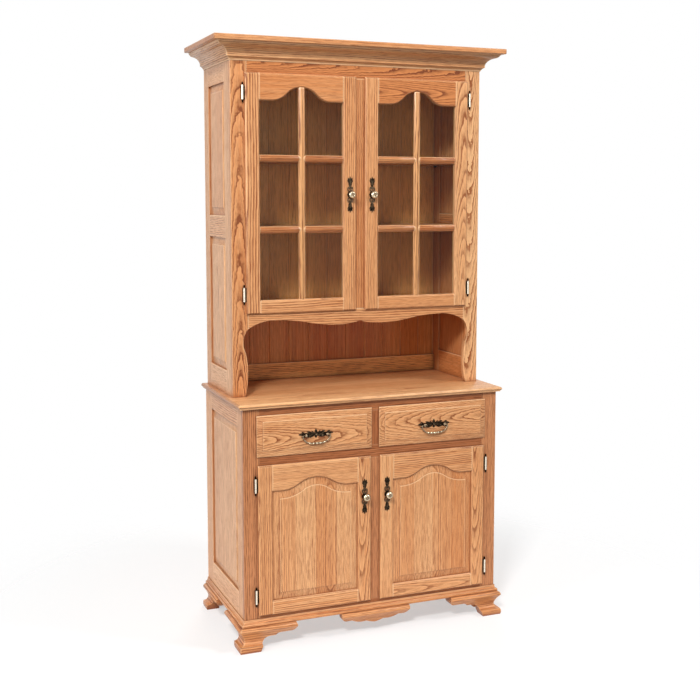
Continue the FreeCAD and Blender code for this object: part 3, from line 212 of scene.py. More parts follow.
# Oak
palettes = {  # the wood and the dark grain lines of the lightest and the deepest boards; the pore colour also paints the shade in corners, and the rub colour is rubbed wear and painted highlight on edges
    "golden": {
        "pale": paint(236, 184, 132),
        "paleLine": paint(150, 88, 46),
        "deep": paint(208, 134, 78),
        "deepLine": paint(118, 60, 28),
        "pore": paint(136, 70, 36),
        "rub": paint(255, 216, 168),
    },
    "russet": {
        "pale": paint(212, 146, 98),
        "paleLine": paint(140, 80, 42),
        "deep": paint(166, 96, 52),
        "deepLine": paint(108, 56, 26),
        "pore": paint(92, 48, 22),
        "rub": paint(240, 190, 140),
    },
    "honey": {
        "pale": paint(226, 168, 112),
        "paleLine": paint(146, 84, 44),
        "deep": paint(176, 104, 54),
        "deepLine": paint(112, 58, 26),
        "pore": paint(100, 52, 24),
        "rub": paint(250, 206, 156),
    },
    "amber": {
        "pale": paint(255, 193, 122),
        "paleLine": paint(156, 86, 32),
        "deep": paint(190, 104, 42),
        "deepLine": paint(104, 46, 12),
        "pore": paint(92, 42, 12),
        "rub": paint(255, 216, 168),
    },
}
plainFinish = {  # one solid board; the finishes below say where they differ from it
    "palette": "golden",
    "lines": 1.35,  # depth of the grain lines
    "flecks": 0.5,  # depth of the short flecks
    "sway": 1.0,  # how far the grain lines wander
    "zigzag": 1.4 * mm,  # and how far they tremble
    "rub": 0.65,  # how pale the edges are, the upper ones most: rubbed wear and painted highlight
    "cornerShade": 0.75,  # how dark the corners and gaps are painted, as shade
    "stave": 0,  # width of the boards in a glued panel
    "steps": 0,  # how much those boards differ
    "paleBehindGlass": 0,  # 1 if the part behind the glass is paler than the part in the niche
}
finishes = {
    "frontOak": {},
    "sashOak": {"cornerShade": 0.3},
    "barOak": {"palette": "honey", "lines": 1.2, "cornerShade": 0.2},
    "wildOak": {"lines": 1.9, "flecks": 0.4, "sway": 0.9, "zigzag": 5 * mm},
    "footOak": {"lines": 1.5, "flecks": 0.6, "rub": 0.2},
    "frameOak": {"palette": "russet", "lines": 1.2, "rub": 0.15},
    "panelOak": {"lines": 1.0, "flecks": 0.8, "sway": 0.4, "stave": 74 * mm, "steps": 0.8},
    "counterOak": {
        "lines": 0.7, "flecks": 0.6, "sway": 0.6, "zigzag": 2 * mm,
        "rub": 0.25, "stave": 86 * mm, "steps": 0.5,
    },
    "nicheOak": {"palette": "amber", "lines": 1.0, "zigzag": 2 * mm},
    "plyOak": {"lines": 0.8, "sway": 1.2, "zigzag": 4 * mm},
    "backOak": {
        "palette": "amber", "lines": 0.5, "sway": 0.5, "zigzag": 2 * mm,
        "cornerShade": 0.25, "stave": 76 * mm, "steps": 0.4, "paleBehindGlass": 1,
    },
}
growth = {
    "ring": 6.5 * mm,  # width of a ring, and how far the rings wander
    "slow": 26 * mm,
    "wave": 5 * mm,
    "seed": 31,  # settles which rings are strong
    "cluster": (0.24, 1.3, 40),  # blobs of bolder rings to the ring, to the metre and to the tone
}
figure = {  # blobs to the metre, across the grain and along it
    "slow": (7, 1.6),
    "wave": (24, 6),
    "quick": (44, 42),
    "streak": (200, 1.5),
    "fleck": (320, 22),
    "pores": (1500, 130),
    "broad": (5, 0.9),
}
glued = {  # how far a board of a panel may lie from its neighbour in the log
    "seed": 97,
    "aside": 0.3,
    "squeeze": 1.6,
    "below": 0.03,
    "deeper": 0.08,
    "lean": 0.03,
    "along": 5,
    "glassFoot": (-0.32, -0.24),  # heights on the panel between the niche and the glass
}
# reach of the painted edge highlight, its tilt towards the light above, reach of the painted corner shade,
# and rays for each
sheenAndShade = {"edge": 4 * mm, "fromAbove": (0.0, 0.0, 0.85), "corner": 26 * mm, "samples": 8}
varnish = {"Specular IOR Level": 0.25, "Coat Weight": 0.12, "Coat Roughness": 0.25}
oakBump = {"Strength": 0.3, "Distance": 0.4 * mm}


def oakMaterial(name):
    look = {**plainFinish, **finishes[name]}
    oak = palettes[look["palette"]]
    made, wire = newMaterial(name)
    tone = wire.attribute("tone", "Fac")
    bold = wire.attribute("bold", "Fac")
    across = wire.node("ShaderNodeSeparateXYZ", {}, {"Vector": wire.attribute("grain", "Vector")})
    along, through = across.other("Y"), across.other("Z")
    if look["stave"]:  # boards glued edge to edge, each cut from another place in the log
        stave = (across / look["stave"]).floor()
        side, deep, lean = wire.dice(stave, tone * glued["seed"])
        middle = (stave + 0.5) * look["stave"]
        across = (across - middle + (side - 0.5) * glued["aside"]) * glued["squeeze"]
        behind = along.eased(*glued["glassFoot"]) * (1 - through.eased(-mm, mm)) * look["paleBehindGlass"]
        tone = (tone + (deep - 0.5) * look["steps"] - behind).clamped()
        through = through + glued["below"] + deep * glued["deeper"] + along * (lean - 0.5) * glued["lean"]
        along = along + side * glued["along"]

    def drawn(kind, detail=2.0):  # blobs drawn out along the grain
        fine, long = figure[kind]
        return wire.noise(wire.vector(across * fine, along * long, through * fine), detail)

    # growth rings: dark early wood that fades into the rest of each ring
    sway = (drawn("slow") - 0.5) * growth["slow"] + (drawn("wave") - 0.5) * growth["wave"]
    tremble = (drawn("quick") - 0.5) * look["zigzag"]
    turn = ((across * across + through * through) ** 0.5 + sway * look["sway"] + tremble) / growth["ring"]
    strong = wire.dice(turn.floor(), (tone * growth["seed"]).floor())[0]
    rings, lengths, tones = growth["cluster"]
    cluster = wire.noise(wire.vector(turn * rings, along * lengths, tone * tones)).eased(0.36, 0.62)
    part = turn.fraction()
    edge = 1 - part.eased(0.12, 0.36)
    ring = part.eased(0.0, 0.08) * (edge * 0.6 + (1 - part.eased(0.2, 0.9)) * 0.4)
    early = ring * (strong * 0.45 + 0.55) * (cluster * 0.4 + 0.6) * bold

    # the wood's colour, its lines, flecks and pores
    streak = drawn("streak", 3.0) - 0.5
    fleck = drawn("fleck").eased(0.46, 0.60)
    pores = drawn("pores", 1.0).eased(0.52, 0.68)
    shade = (tone + (drawn("broad") - 0.5) * 0.7 + streak * 1.2).clamped()
    ground = shade.mixed(oak["pale"], oak["deep"])
    line = shade.mixed(oak["paleLine"], oak["deepLine"])
    cross = wire.attribute("ends", "Fac").eased(0.05, 0.4)  # end grain is darker
    lined = early * (fleck * 0.45 + 0.7) * look["lines"] + cross * 0.45
    dark = fleck * (early * 0.8 + 0.4) * look["flecks"] + pores * (early * 0.3 + 0.08)
    worked = dark.clamped().mixed(lined.clamped().mixed(ground, line), oak["pore"])

    # edges, the upper ones most, are painted pale, as rubbed wear and as painted highlight from light above,
    # and corners and gaps are painted dark as shade
    facing = wire.node("ShaderNodeNewGeometry", {}, {}, "Normal")
    lowered = wire.node("ShaderNodeVectorMath", {"operation": "SUBTRACT"}, {0: facing, 1: sheenAndShade["fromAbove"]})
    settings = {"samples": sheenAndShade["samples"], "inside": True}
    sockets = {"Distance": sheenAndShade["edge"], "Normal": lowered}
    depth = wire.node("ShaderNodeAmbientOcclusion", settings, sockets, "AO")
    rubbedAndSheened = ((1 - depth.eased(0.5, 0.95)) * look["rub"]).mixed(worked, oak["rub"])
    settings = {"samples": sheenAndShade["samples"]}
    openness = wire.node("ShaderNodeAmbientOcclusion", settings, {"Distance": sheenAndShade["corner"]}, "AO")
    colour = ((1 - openness.eased(0.3, 0.95)) * look["cornerShade"]).mixed(rubbedAndSheened, oak["pore"])

    height = 1 - fleck * 0.35 - pores * 0.4 - early * 0.25
    bump = wire.node("ShaderNodeBump", {}, {**oakBump, "Height": height})
    gloss = 0.30 + fleck * 0.1 + pores * 0.08 + streak * 0.1
    sockets = {"Base Color": colour, "Roughness": gloss, "Normal": bump, **varnish}
    surface(wire, wire.node("ShaderNodeBsdfPrincipled", {}, sockets))
    return made


oaks = {name: oakMaterial(name) for name in finishes}
print("oak finishes made:", len(oaks))


# Boards: every solid of a wooden node, with eased edges and its own place in the log
crease = math.radians(30)
flat = math.radians(0.6)
cuts = {  # how a board lay in the log: aside of the heart, below it, its lean, its scale and its boldness
    "cathedral": {
        "aside": (0.0, 0.012), "below": (0.020, 0.030), "lean": (0.04, 0.065),
        "scale": (1.2, 1.5), "bold": 1.0,
    },
    "straight": {
        "aside": (0.07, 0.13), "below": (0.03, 0.07), "lean": (0.004, 0.014),
        "scale": (0.95, 1.2), "bold": 1.1,
    },
    "striped": {
        "aside": (0.07, 0.13), "below": (0.03, 0.07), "lean": (0.004, 0.010),
        "scale": (0.72, 0.8), "bold": 1.6,
    },
    "fine": {
        "aside": (0.10, 0.16), "below": (0.03, 0.06), "lean": (0.002, 0.010),
        "scale": (1.2, 1.6), "bold": 0.7,
    },
    "wavy": {
        "aside": (0.0, 0.02), "below": (0.03, 0.05), "lean": (0.06, 0.09),
        "scale": (1.2, 1.4), "bold": 0.8,
    },
    "veneer": {
        "aside": (0.0, 0.05), "below": (0.05, 0.07), "lean": (0.012, 0.018),
        "scale": (0.3, 0.36), "bold": 0.8,
    },
    "stave": {
        "aside": (0.0, 0.0), "below": (0.0, 0.0), "lean": (0.0, 0.0),
        "scale": (1.0, 1.0), "bold": 1.0,
    },
}


def solidsOf(mesh):  # the node's triangles in order, cut wherever they have closed a solid
    keys = [tuple(round(number, 6) for number in vertex.co) for vertex in mesh.vertices]
    solids = []
    current = []
    waiting = set()
    for polygon in mesh.polygons:
        corners = [keys[index] for index in polygon.vertices]
        if len(set(corners)) < 3:
            continue
        current.append(corners)
        for start, end in zip(corners, corners[1:] + corners[:1]):
            if (end, start) in waiting:
                waiting.remove((end, start))
            else:
                waiting.add((start, end))
        if not waiting:
            solids.append(current)
            current = []
    return solids + [current] if current else solids


def easedSolid(triangles, ease):  # the solid with whole faces and rounded edges
    solid = bmesh.new()
    corners = {key: solid.verts.new(key) for key in dict.fromkeys(sum(triangles, []))}
    for triangle in triangles:
        solid.faces.new([corners[key] for key in triangle])
    bmesh.ops.dissolve_limit(solid, angle_limit=flat, verts=solid.verts, edges=solid.edges)
    angles = {edge: edge.calc_face_angle(0.0) for edge in solid.edges}
    for face in solid.faces:
        face.smooth = any(flat < angles[edge] < crease for edge in face.edges)
    sharp = [edge for edge, angle in angles.items() if angle > crease]
    if ease:
        made = bmesh.ops.bevel(
            solid, geom=sharp, offset=ease, offset_type="OFFSET", segments=2, profile=0.5,
            affect="EDGES", clamp_overlap=True,
        )
        for face in made["faces"]:
            face.smooth = True
    solid.verts.index_update()
    return solid


def spread(dice, limits):
    return dice.uniform(*limits)


def logPlace(low, high, cut, dice, upright):  # maps a point of the board to its place in the log
    size = high - low
    order = sorted(range(3), key=lambda axis: size[axis])
    thin, wide, long = order
    if upright:
        wide, long = [axis for axis in order if axis != 2][-1], 2
        thin = 3 - wide - long
    middle = (low + high) / 2
    scale = spread(dice, cut["scale"])
    aside = spread(dice, cut["aside"]) * dice.choice((-1, 1))
    below = spread(dice, cut["below"])
    lean = spread(dice, cut["lean"]) * dice.choice((-1, 1))
    start = dice.uniform(3, 40) if scale != 1.0 else 0.0

    def place(point):
        offset = point - middle
        depth = below + abs(lean) * size[long] / 2 + lean * offset[long] + offset[thin]
        return Vector((offset[wide] + aside, offset[long], depth)) * scale + Vector((0, start, 0))

    return place, long


def woodPiece(node, finish="frontOak", cut="straight", tone=(0.3, 0.7), ease=1.0 * mm, upright=False):
    slotName = "plywood" if finish == "plyOak" else "oak"
    solids = []
    for triangles in solidsOf(nodes[node].data):
        solid = easedSolid(triangles, ease)
        low = Vector(min(vertex.co[axis] for vertex in solid.verts) for axis in range(3))
        high = Vector(max(vertex.co[axis] for vertex in solid.verts) for axis in range(3))
        solids.append((tuple(round(c, 4) for c in (low + high) / 2), low, high, solid))
    solids.sort(key=lambda entry: entry[0])
    figures = cut if isinstance(cut, list) else [cut]
    shades = tone if isinstance(tone, list) else [tone]
    points, faces, smooth, grain, tones, bolds, ends = [], [], [], [], [], [], []
    for number, (middle, low, high, solid) in enumerate(solids):
        dice = random.Random(f"{node} {number}")
        way = cuts[figures[number % len(figures)]]
        place, axis = logPlace(low, high, way, dice, upright)
        own = spread(dice, shades[number % len(shades)])
        first = len(points)
        for vertex in solid.verts:
            points.append(vertex.co.copy())
            grain.extend(place(vertex.co))
            tones.append(own)
            bolds.append(way["bold"])
        solid.normal_update()
        for face in solid.faces:
            faces.append([first + vertex.index for vertex in face.verts])
            smooth.append(face.smooth)
            ends.append(abs(face.normal[axis]))
        solid.free()
    name = "".join(word if not place else word.title() for place, word in enumerate(node.split("_")))
    mesh = bpy.data.meshes.new(name)
    mesh.from_pydata(points, [], faces)
    mesh.polygons.foreach_set("use_smooth", smooth)
    mesh.attributes.new("grain", "FLOAT_VECTOR", "POINT").data.foreach_set("vector", grain)
    mesh.attributes.new("tone", "FLOAT", "POINT").data.foreach_set("value", tones)
    mesh.attributes.new("bold", "FLOAT", "POINT").data.foreach_set("value", bolds)
    mesh.attributes.new("ends", "FLOAT", "FACE").data.foreach_set("value", ends)
    mesh.materials.append(oaks[finish])
    stand(name, mesh, node)


def stand(name, mesh, node):  # the piece takes the place of a node and rides where it rode
    piece = bpy.data.objects.new(name, mesh)
    bpy.context.scene.collection.objects.link(piece)
    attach(piece, bodyOf[node])
    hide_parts(node)


def hutchBoards():
    # left stile, mullion, top rail and right stile
    frameCuts = ["cathedral", "straight", "cathedral", "cathedral"]
    frameTones = [(0.7, 0.8), (0.7, 0.8), (1.2, 1.3), (0.1, 0.2)]
    woodPiece("hutch_face_frame", "wildOak", frameCuts, frameTones)
    woodPiece("hutch_apron", cut="straight", tone=(0.5, 0.6))
    for side, tone in (("left", (0.1, 0.3)), ("right", (0.85, 0.95))):
        woodPiece(f"hutch_{side}_side_frame", cut=["straight", "fine"], tone=tone, ease=0.6 * mm)
        woodPiece(f"hutch_{side}_side_panels", "panelOak", "stave", tone)
    woodPiece("hutch_back_panel", "backOak", "stave", (0.8, 0.9), ease=0)
    woodPiece("hutch_back_rail", "nicheOak", "straight", (0.1, 0.2))
    woodPiece("hutch_deck", "counterOak", "stave", (0.5, 0.7))
    woodPiece("hutch_shelves", "counterOak", "stave", (0.5, 0.7))
    woodPiece("hutch_top", "counterOak", "stave", (0.5, 0.7), ease=3 * mm)
    woodPiece("crown_moulding", cut="straight", tone=(0.2, 0.3), ease=0.5 * mm)


def baseBoards():
    woodPiece("countertop", "counterOak", "stave", (0.35, 0.45), ease=0.5 * mm)
    # the rails get a deeper tone than the stiles, painted shade under the counter and around the proud
    # drawers
    stile, rail = (0.15, 0.35), (0.8, 1.0)
    frameTones = [stile, rail, stile, rail, rail, rail, stile]
    woodPiece("base_face_frame", "frameOak", "straight", frameTones, 0.6 * mm)
    for side in ("left", "right"):
        woodPiece(f"base_{side}_side_frame", cut=["straight", "fine"], tone=(0.3, 0.5), ease=0.6 * mm)
        woodPiece(f"base_{side}_side_panel", "panelOak", "stave", (0.3, 0.5))
    woodPiece("base_back_panel", "plyOak", "veneer", (0.3, 0.4), upright=True)
    woodPiece("base_floor", "counterOak", "stave", (0.4, 0.6))
    woodPiece("base_shelf", "counterOak", "stave", (0.4, 0.6))
    woodPiece("drawer_runners", cut="fine", tone=(0.2, 0.5))
    woodPiece("base_moulding", "footOak", "fine", (0.7, 0.8), 0.5 * mm)
    woodPiece("centre_drop", "footOak", "fine", (0.7, 0.8), 0.5 * mm)
    for corner in ("front_left", "front_right", "rear_left", "rear_right"):
        woodPiece(f"{corner}_foot", "footOak", "straight", (0.7, 0.8), 0.6 * mm)


doorFigures = {  # cuts and tones of a door frame: left stile, bottom rail, top rail, right stile
    # the upper doors' top rails get a deeper tone, painted shade
    "upper_left": {
        "cut": ["striped", "straight", "fine", "straight"],
        "tone": [(0.4, 0.5), (0.5, 0.6), (0.85, 0.95), (0.5, 0.6)],
    },
    "upper_right": {
        "cut": ["straight", "fine", "cathedral", "cathedral"],
        "tone": [(0.5, 0.6), (0.5, 0.6), (1.2, 1.3), (0.3, 0.4)],
    },
    "lower_left": {
        "cut": ["straight", "straight", "fine", "cathedral"],
        "tone": [(0.5, 0.6), (0.55, 0.65), (0.5, 0.6), (0.5, 0.6)],
    },
    "lower_right": {
        "cut": ["fine", "cathedral", "straight", "cathedral"],
        "tone": [(0.4, 0.5), (0.5, 0.6), (0.5, 0.6), (0.5, 0.6)],
    },
}


def doorBoards():
    for door, boards in doorFigures.items():
        finish = "sashOak" if door.startswith("upper") else "frontOak"
        woodPiece(f"{door}_door_frame", finish, boards["cut"], boards["tone"], 0.6 * mm)
    # two bars, the upright and two bars
    barCuts = ["straight", "straight", "striped"]
    barTones = [(0.85, 0.95), (0.85, 0.95), (0.1, 0.2)]
    for side in ("left", "right"):
        woodPiece(f"upper_{side}_muntins", "barOak", barCuts, barTones, 0.5 * mm)
        woodPiece(f"lower_{side}_door_panel", "panelOak", "stave", (0.5, 0.6), ease=0.6 * mm)


def drawerBoards():
    for side in ("left", "right"):
        woodPiece(f"{side}_drawer_front", "wildOak", "wavy", (0.5, 0.6), ease=0.8 * mm)
        woodPiece(f"{side}_drawer_box", cut="fine", tone=(0.05, 0.2))
        woodPiece(f"{side}_drawer_bottom", "plyOak", "veneer", (0.05, 0.2))


hutchBoards()
baseBoards()
doorBoards()
drawerBoards()
print("boards made")


# Glass
glass = {"tint": paint(252, 254, 252), "roughness": 0.02, "ior": 1.45, "gleam": 0.2}


def glassMaterial():
    made, wire = newMaterial("windowGlass")
    clear = wire.node("ShaderNodeBsdfTransparent", {}, {"Color": glass["tint"]})
    gleam = wire.node("ShaderNodeBsdfGlossy", {}, {"Roughness": glass["roughness"]})
    share = wire.node("ShaderNodeFresnel", {}, {"IOR": glass["ior"]}) * glass["gleam"]
    surface(wire, wire.node("ShaderNodeMixShader", {}, {0: share, 1: clear, 2: gleam}))
    return made


windowGlass = glassMaterial()
for side in ("left", "right"):
    nodes[f"upper_{side}_glass"].material_slots[0].material = windowGlass
print("glass made")


# Brass
brass = {
    "castBright": paint(224, 210, 180),
    "hingeBright": paint(246, 236, 216),
    "worn": paint(134, 112, 88),
    "dark": paint(24, 18, 12),
    "grit": 700.0,  # blobs to the metre of the fine and the broad patina
    "cloud": 140.0,
    "bump": {"Strength": 0.2, "Distance": 0.2 * mm},
}


def brassMaterial(name, shine, bright):  # shine makes the 0 to 1 share of polished metal from the wire
    made, wire = newMaterial(name)
    place = wire.node("ShaderNodeTexCoord", {}, {}, "Object")
    grit = wire.node("ShaderNodeVectorMath", {"operation": "SCALE"}, {0: place, "Scale": brass["grit"]})
    cloud = wire.node("ShaderNodeVectorMath", {"operation": "SCALE"}, {0: place, "Scale": brass["cloud"]})
    patina = wire.noise(grit, 3.0) - 0.5 + (wire.noise(cloud) - 0.5) * 0.7
    share = (shine(wire) + patina * 0.6).clamped()
    metal = share.eased(0.6, 1.0).mixed(brass["worn"], bright)
    colour = share.eased(0.3, 0.65).mixed(brass["dark"], metal)
    bump = wire.node("ShaderNodeBump", {}, {**brass["bump"], "Height": patina})
    sockets = {"Base Color": colour, "Metallic": 1.0, "Roughness": 0.42 - share * 0.2, "Normal": bump}
    surface(wire, wire.node("ShaderNodeBsdfPrincipled", {}, sockets))
    return made


def castShine(wire):
    return wire.attribute("rub", "Fac")


joint = {entry["name"]: entry for entry in frame["joints"]}
pinUpper = joint["upper_right_door_hinge"]["pos_m"]
pinLower = joint["lower_right_door_hinge"]["pos_m"]
hinge = {"hutchFrom": (0.90, 0.95), "barrel": (2.9 * mm, 3.3 * mm), "leaf": (3.6 * mm, 4.0 * mm)}


def barrelShine(wire):  # polished round the hinge pins, dark on the leaves
    across = wire.node("ShaderNodeSeparateXYZ", {}, {0: wire.node("ShaderNodeTexCoord", {}, {}, "Object")})
    upper = across.other("Z").eased(*hinge["hutchFrom"])
    pinX = pinLower[0] + upper * (pinUpper[0] - pinLower[0])
    pinY = pinLower[1] + upper * (pinUpper[1] - pinLower[1])
    aside = across.maths("ABSOLUTE", across) - pinX
    ahead = across.other("Y") - pinY
    away = (aside * aside + ahead * ahead) ** 0.5
    return away.eased(*hinge["barrel"]) - away.eased(*hinge["leaf"]) * 0.9


castBrass = brassMaterial("castBrass", castShine, brass["castBright"])
hingeBrass = brassMaterial("hingeBrass", barrelShine, brass["hingeBright"])
for name in nodes:
    if name.endswith("hinge_leaves") or name in ("hinge_frame_leaves", "hinge_pins", "shelf_pins"):
        nodes[name].material_slots[0].material = hingeBrass


def curved(points, steps):  # a smooth line through the points
    line = []
    last = len(points) - 1
    for place in range(last):
        a, b, c, d = (Vector(points[min(max(place + shift, 0), last)]) for shift in (-1, 0, 1, 2))
        curve = a - b * 2.5 + c * 2 - d / 2
        twist = b * 1.5 - a / 2 - c * 1.5 + d / 2
        for step in range(steps):
            t = step / steps
            line.append(b + (c - a) * (t / 2) + curve * t**2 + twist * t**3)
    return line + [Vector(points[last])]


rollForm = {"flank": 0.18, "crown": 0.32}  # polish of a rolled rod, and what its crown gains
leafForm = {
    "trim": 0.02,  # share of its length left off at each end
    "lobe": 0.16,  # depth of the lobes, as a share of the width
    "rim": 0.15 * mm,
    "root": 0.3 * mm,  # height of its edge over the face
    "vein": 0.45,  # depth and width of the middle vein, as shares
    "veinWidth": 0.22,
}


class Casting:  # a brass fitting, gathered from turned, rolled and leafy parts on the plane of a face
    def __init__(self, x, face, z):
        self.base = Vector((x, face, z))
        self.points = []
        self.rubs = []
        self.faces = []

    def spot(self, across, up, out):
        return self.base + Vector((across, -out, up))

    def skin(self, rings):  # closed rings of (point, rub), joined and capped
        count = len(rings[0])
        first = len(self.points)
        for point, rub in sum(rings, []):
            self.points.append(point)
            self.rubs.append(rub)
        last = first + (len(rings) - 1) * count
        for row in range(first, last, count):
            above = row + count
            for place in range(count):
                following = (place + 1) % count
                self.faces.append((row + place, row + following, above + following, above + place))
        self.faces.append(tuple(range(first + count - 1, first - 1, -1)))
        self.faces.append(tuple(range(last, last + count)))

    def turned(self, across, up, profile, rub, sides=28, steps=4):  # profile points are (radius, out, shine)
        rings = []
        for radius, out, shine in curved(profile, steps):
            ring = []
            for side in range(sides):
                angle = -2 * math.pi * side / sides
                point = self.spot(across + radius * math.cos(angle), up + radius * math.sin(angle), out)
                ring.append((point, rub + shine))
            rings.append(ring)
        self.skin(rings)

    def rolled(self, path, sides=10, steps=6):  # path points are (across, up, out, radius)
        line = curved(path, steps)
        rings = []
        for place, knot in enumerate(line):
            ahead = line[min(place + 1, len(line) - 1)] - line[max(place - 1, 0)]
            way = Vector((ahead[0], ahead[1])).normalized()
            ring = []
            for side in range(sides):
                angle = -2 * math.pi * side / sides
                aside = knot[3] * math.cos(angle)
                rise = knot[3] * math.sin(angle)
                point = self.spot(knot[0] - way[1] * aside, knot[1] + way[0] * aside, knot[2] + rise)
                ring.append((point, rollForm["flank"] + rollForm["crown"] * math.sin(angle)))
            rings.append(ring)
        self.skin(rings)

    def leaf(self, root, tip, width, lift, bend=0.0, lobes=3, rub=0.44, stations=22, sides=16):
        root, tip = Vector(root), Vector(tip)
        way = (tip - root).normalized()
        flank = Vector((-way[1], way[0]))
        rings = []
        for station in range(stations + 1):
            t = leafForm["trim"] + (1 - 2 * leafForm["trim"]) * station / stations
            spine = root.lerp(tip, t) + flank * bend * math.sin(math.pi * t)
            swell = math.sin(math.pi * t**0.75)
            wavy = 1 + leafForm["lobe"] * math.cos(2 * math.pi * lobes * t)
            half = width / 2 * swell**0.7 * wavy + leafForm["rim"]
            ring = []
            for side in range(sides):
                angle = -2 * math.pi * side / sides
                aside = spine + flank * half * math.cos(angle)
                crown = max(math.sin(angle), 0.0) ** 0.7
                vein = 1 - leafForm["vein"] * math.exp(-((math.cos(angle) / leafForm["veinWidth"]) ** 2))
                out = leafForm["root"] + lift * swell**0.5 * crown * vein
                ring.append((self.spot(aside[0], aside[1], out), rub * crown * vein))
            rings.append(ring)
        self.skin(rings)

    def spray(self, leaves, out, up, end=0.0):  # leaves in mm; one without a reach goes to the end
        for root, tip, width, lift, bend, lobes in leaves:
            reach = end if tip[0] is None else tip[0] * mm
            start = (out * root[0] * mm, up * root[1] * mm)
            finish = (out * reach, up * tip[1] * mm)
            self.leaf(start, finish, width * mm, lift * mm, out * up * bend * mm, lobes)

    def stand(self, name, node):
        mesh = bpy.data.meshes.new(name)
        mesh.from_pydata(self.points, [], self.faces)
        mesh.polygons.foreach_set("use_smooth", [len(face) == 4 for face in self.faces])
        mesh.attributes.new("rub", "FLOAT", "POINT").data.foreach_set("value", self.rubs)
        mesh.materials.append(castBrass)
        stand(name, mesh, node)


knob = {  # lengths in mm
    "turning": [  # radius, out and shine of the collar, the neck, the belly and the dished face; the belly's sides are painted dark as shade
        (10.5, 0.4, -0.8), (10.9, 2.2, -0.7), (8.2, 3.4, -0.6), (4.8, 6.0, -0.6), (4.6, 10.0, -0.6),
        (8.0, 13.0, -0.6), (12.4, 16.5, -0.6), (13.4, 19.0, -0.6), (13.0, 21.6, -0.3), (11.2, 24.6, 0.1),
        (9.0, 26.8, 0.1), (7.0, 27.6, 0.0), (5.4, 26.9, -0.2), (2.6, 26.4, -0.15), (0.3, 26.3, 0.0),
    ],
    "shine": 0.8,
    "stem": [(8, 1.0, 1.7), (30, 1.3, 1.3), (46, 1.0, 1.0)],  # up, out and radius
    "scroll": [  # across, up and radius
        (1, 11, 1.9), (6.5, 13, 1.9), (9.0, 18.5, 1.8), (7.6, 24.5, 1.6),
        (3.8, 25.5, 1.4), (3.2, 21.5, 1.2), (5.4, 19.8, 1.6),
    ],
    "scrollOut": 1.1,
    "tip": (37, 8, 2.6),  # root, width and lift of the leaf at the end
    "leaves": [  # root, tip, width, lift, bend and lobes
        ((1, 26), (7, 38), 5, 2, 1.5, 3),
        ((1, 37), (10.5, 49), 7, 2.4, 1.5, 3),
        ((1, 46), (7.5, 58), 5.5, 2.2, -1.5, 3),
    ],
}


def knobs():
    turning = [(r * mm, out * mm, shine) for r, out, shine in knob["turning"]]
    for level in ("upper", "lower"):
        for side in ("left", "right"):
            node = f"{level}_{side}_knob"
            low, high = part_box(node)
            cast = Casting((low.x + high.x) / 2, high.y, (low.z + high.z) / 2)
            reach = (high.z - low.z) / 2
            cast.turned(0, 0, turning, knob["shine"])
            root, width, lift = knob["tip"]
            for up in (-1, 1):
                cast.rolled([(0, up * z * mm, out * mm, size * mm) for z, out, size in knob["stem"]])
                cast.leaf((0, up * root * mm), (0, up * reach), width * mm, lift * mm)
                for out in (-1, 1):
                    cast.rolled([
                        (out * x * mm, up * z * mm, knob["scrollOut"] * mm, size * mm)
                        for x, z, size in knob["scroll"]
                    ])
                    cast.spray(knob["leaves"], out, up)
            cast.stand(f"{level}{side.title()}Knob", node)


pull = {  # lengths in mm
    "boss": [(5.4, 0.3, 0), (5.2, 2.6, 0), (2.8, 4.2, 0.3), (0.3, 4.8, 0.3)],  # radius, out and shine
    "bossShine": 0.15,
    "crest": (3, 9, 3.2),  # root, width and lift of the middle leaves
    "pendant": (-2, 8, 2.8),
    "post": 38,
    "turning": [  # radius, out and shine of a post's foot, waist and ball
        (7.0, 0.4, -0.4), (7.2, 2.4, -0.3), (4.8, 3.6, -0.3), (4.0, 5.4, -0.1),
        (4.9, 8.0, 0.1), (4.9, 10.0, 0.3), (3.4, 12.2, 0.3), (0.3, 13.0, 0.3),
    ],
    "postShine": 0.4,
    "leaves": [  # root, tip, width, lift, bend and lobes
        ((1, 1), (46, 1), 15, 1.4, 0, 7),
        ((3, 3), (15, 14), 6.5, 2.6, -2, 3),
        ((4, 0), (34, 4.5), 10, 3.2, 2.5, 4),
        ((6, -1), (34, -5.5), 7, 2.6, -2.5, 4),
        ((18, 5), (33, 11.5), 6, 2.4, 1.5, 3),
        ((41, 1), (None, 2.5), 8, 2.8, 1.5, 4),
        ((40, 3), (51, 11), 5.5, 2.2, 1.5, 3),
        ((40, -3), (52, -8), 5, 2.2, -1.5, 3),
    ],
}


def pulls():
    boss = [(r * mm, out * mm, shine) for r, out, shine in pull["boss"]]
    turning = [(r * mm, out * mm, shine) for r, out, shine in pull["turning"]]
    for side in ("left", "right"):
        node = f"{side}_drawer_pull_plate"
        low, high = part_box(node)
        pivot = joint[f"{side}_drawer_bail_hinge"]["pos_m"]
        cast = Casting(pivot[0], high.y, pivot[2])
        cast.turned(0, 0, boss, pull["bossShine"])
        for end, (root, width, lift) in ((high.z, pull["crest"]), (low.z, pull["pendant"])):
            cast.leaf((0, root * mm), (0, end - pivot[2]), width * mm, lift * mm, lobes=2)
        for out in (-1, 1):
            cast.turned(out * pull["post"] * mm, 0, turning, pull["postShine"], 20)
            cast.spray(pull["leaves"], out, 1, (high.x - low.x) / 2)
        cast.stand(f"{side}DrawerPullPlate", node)


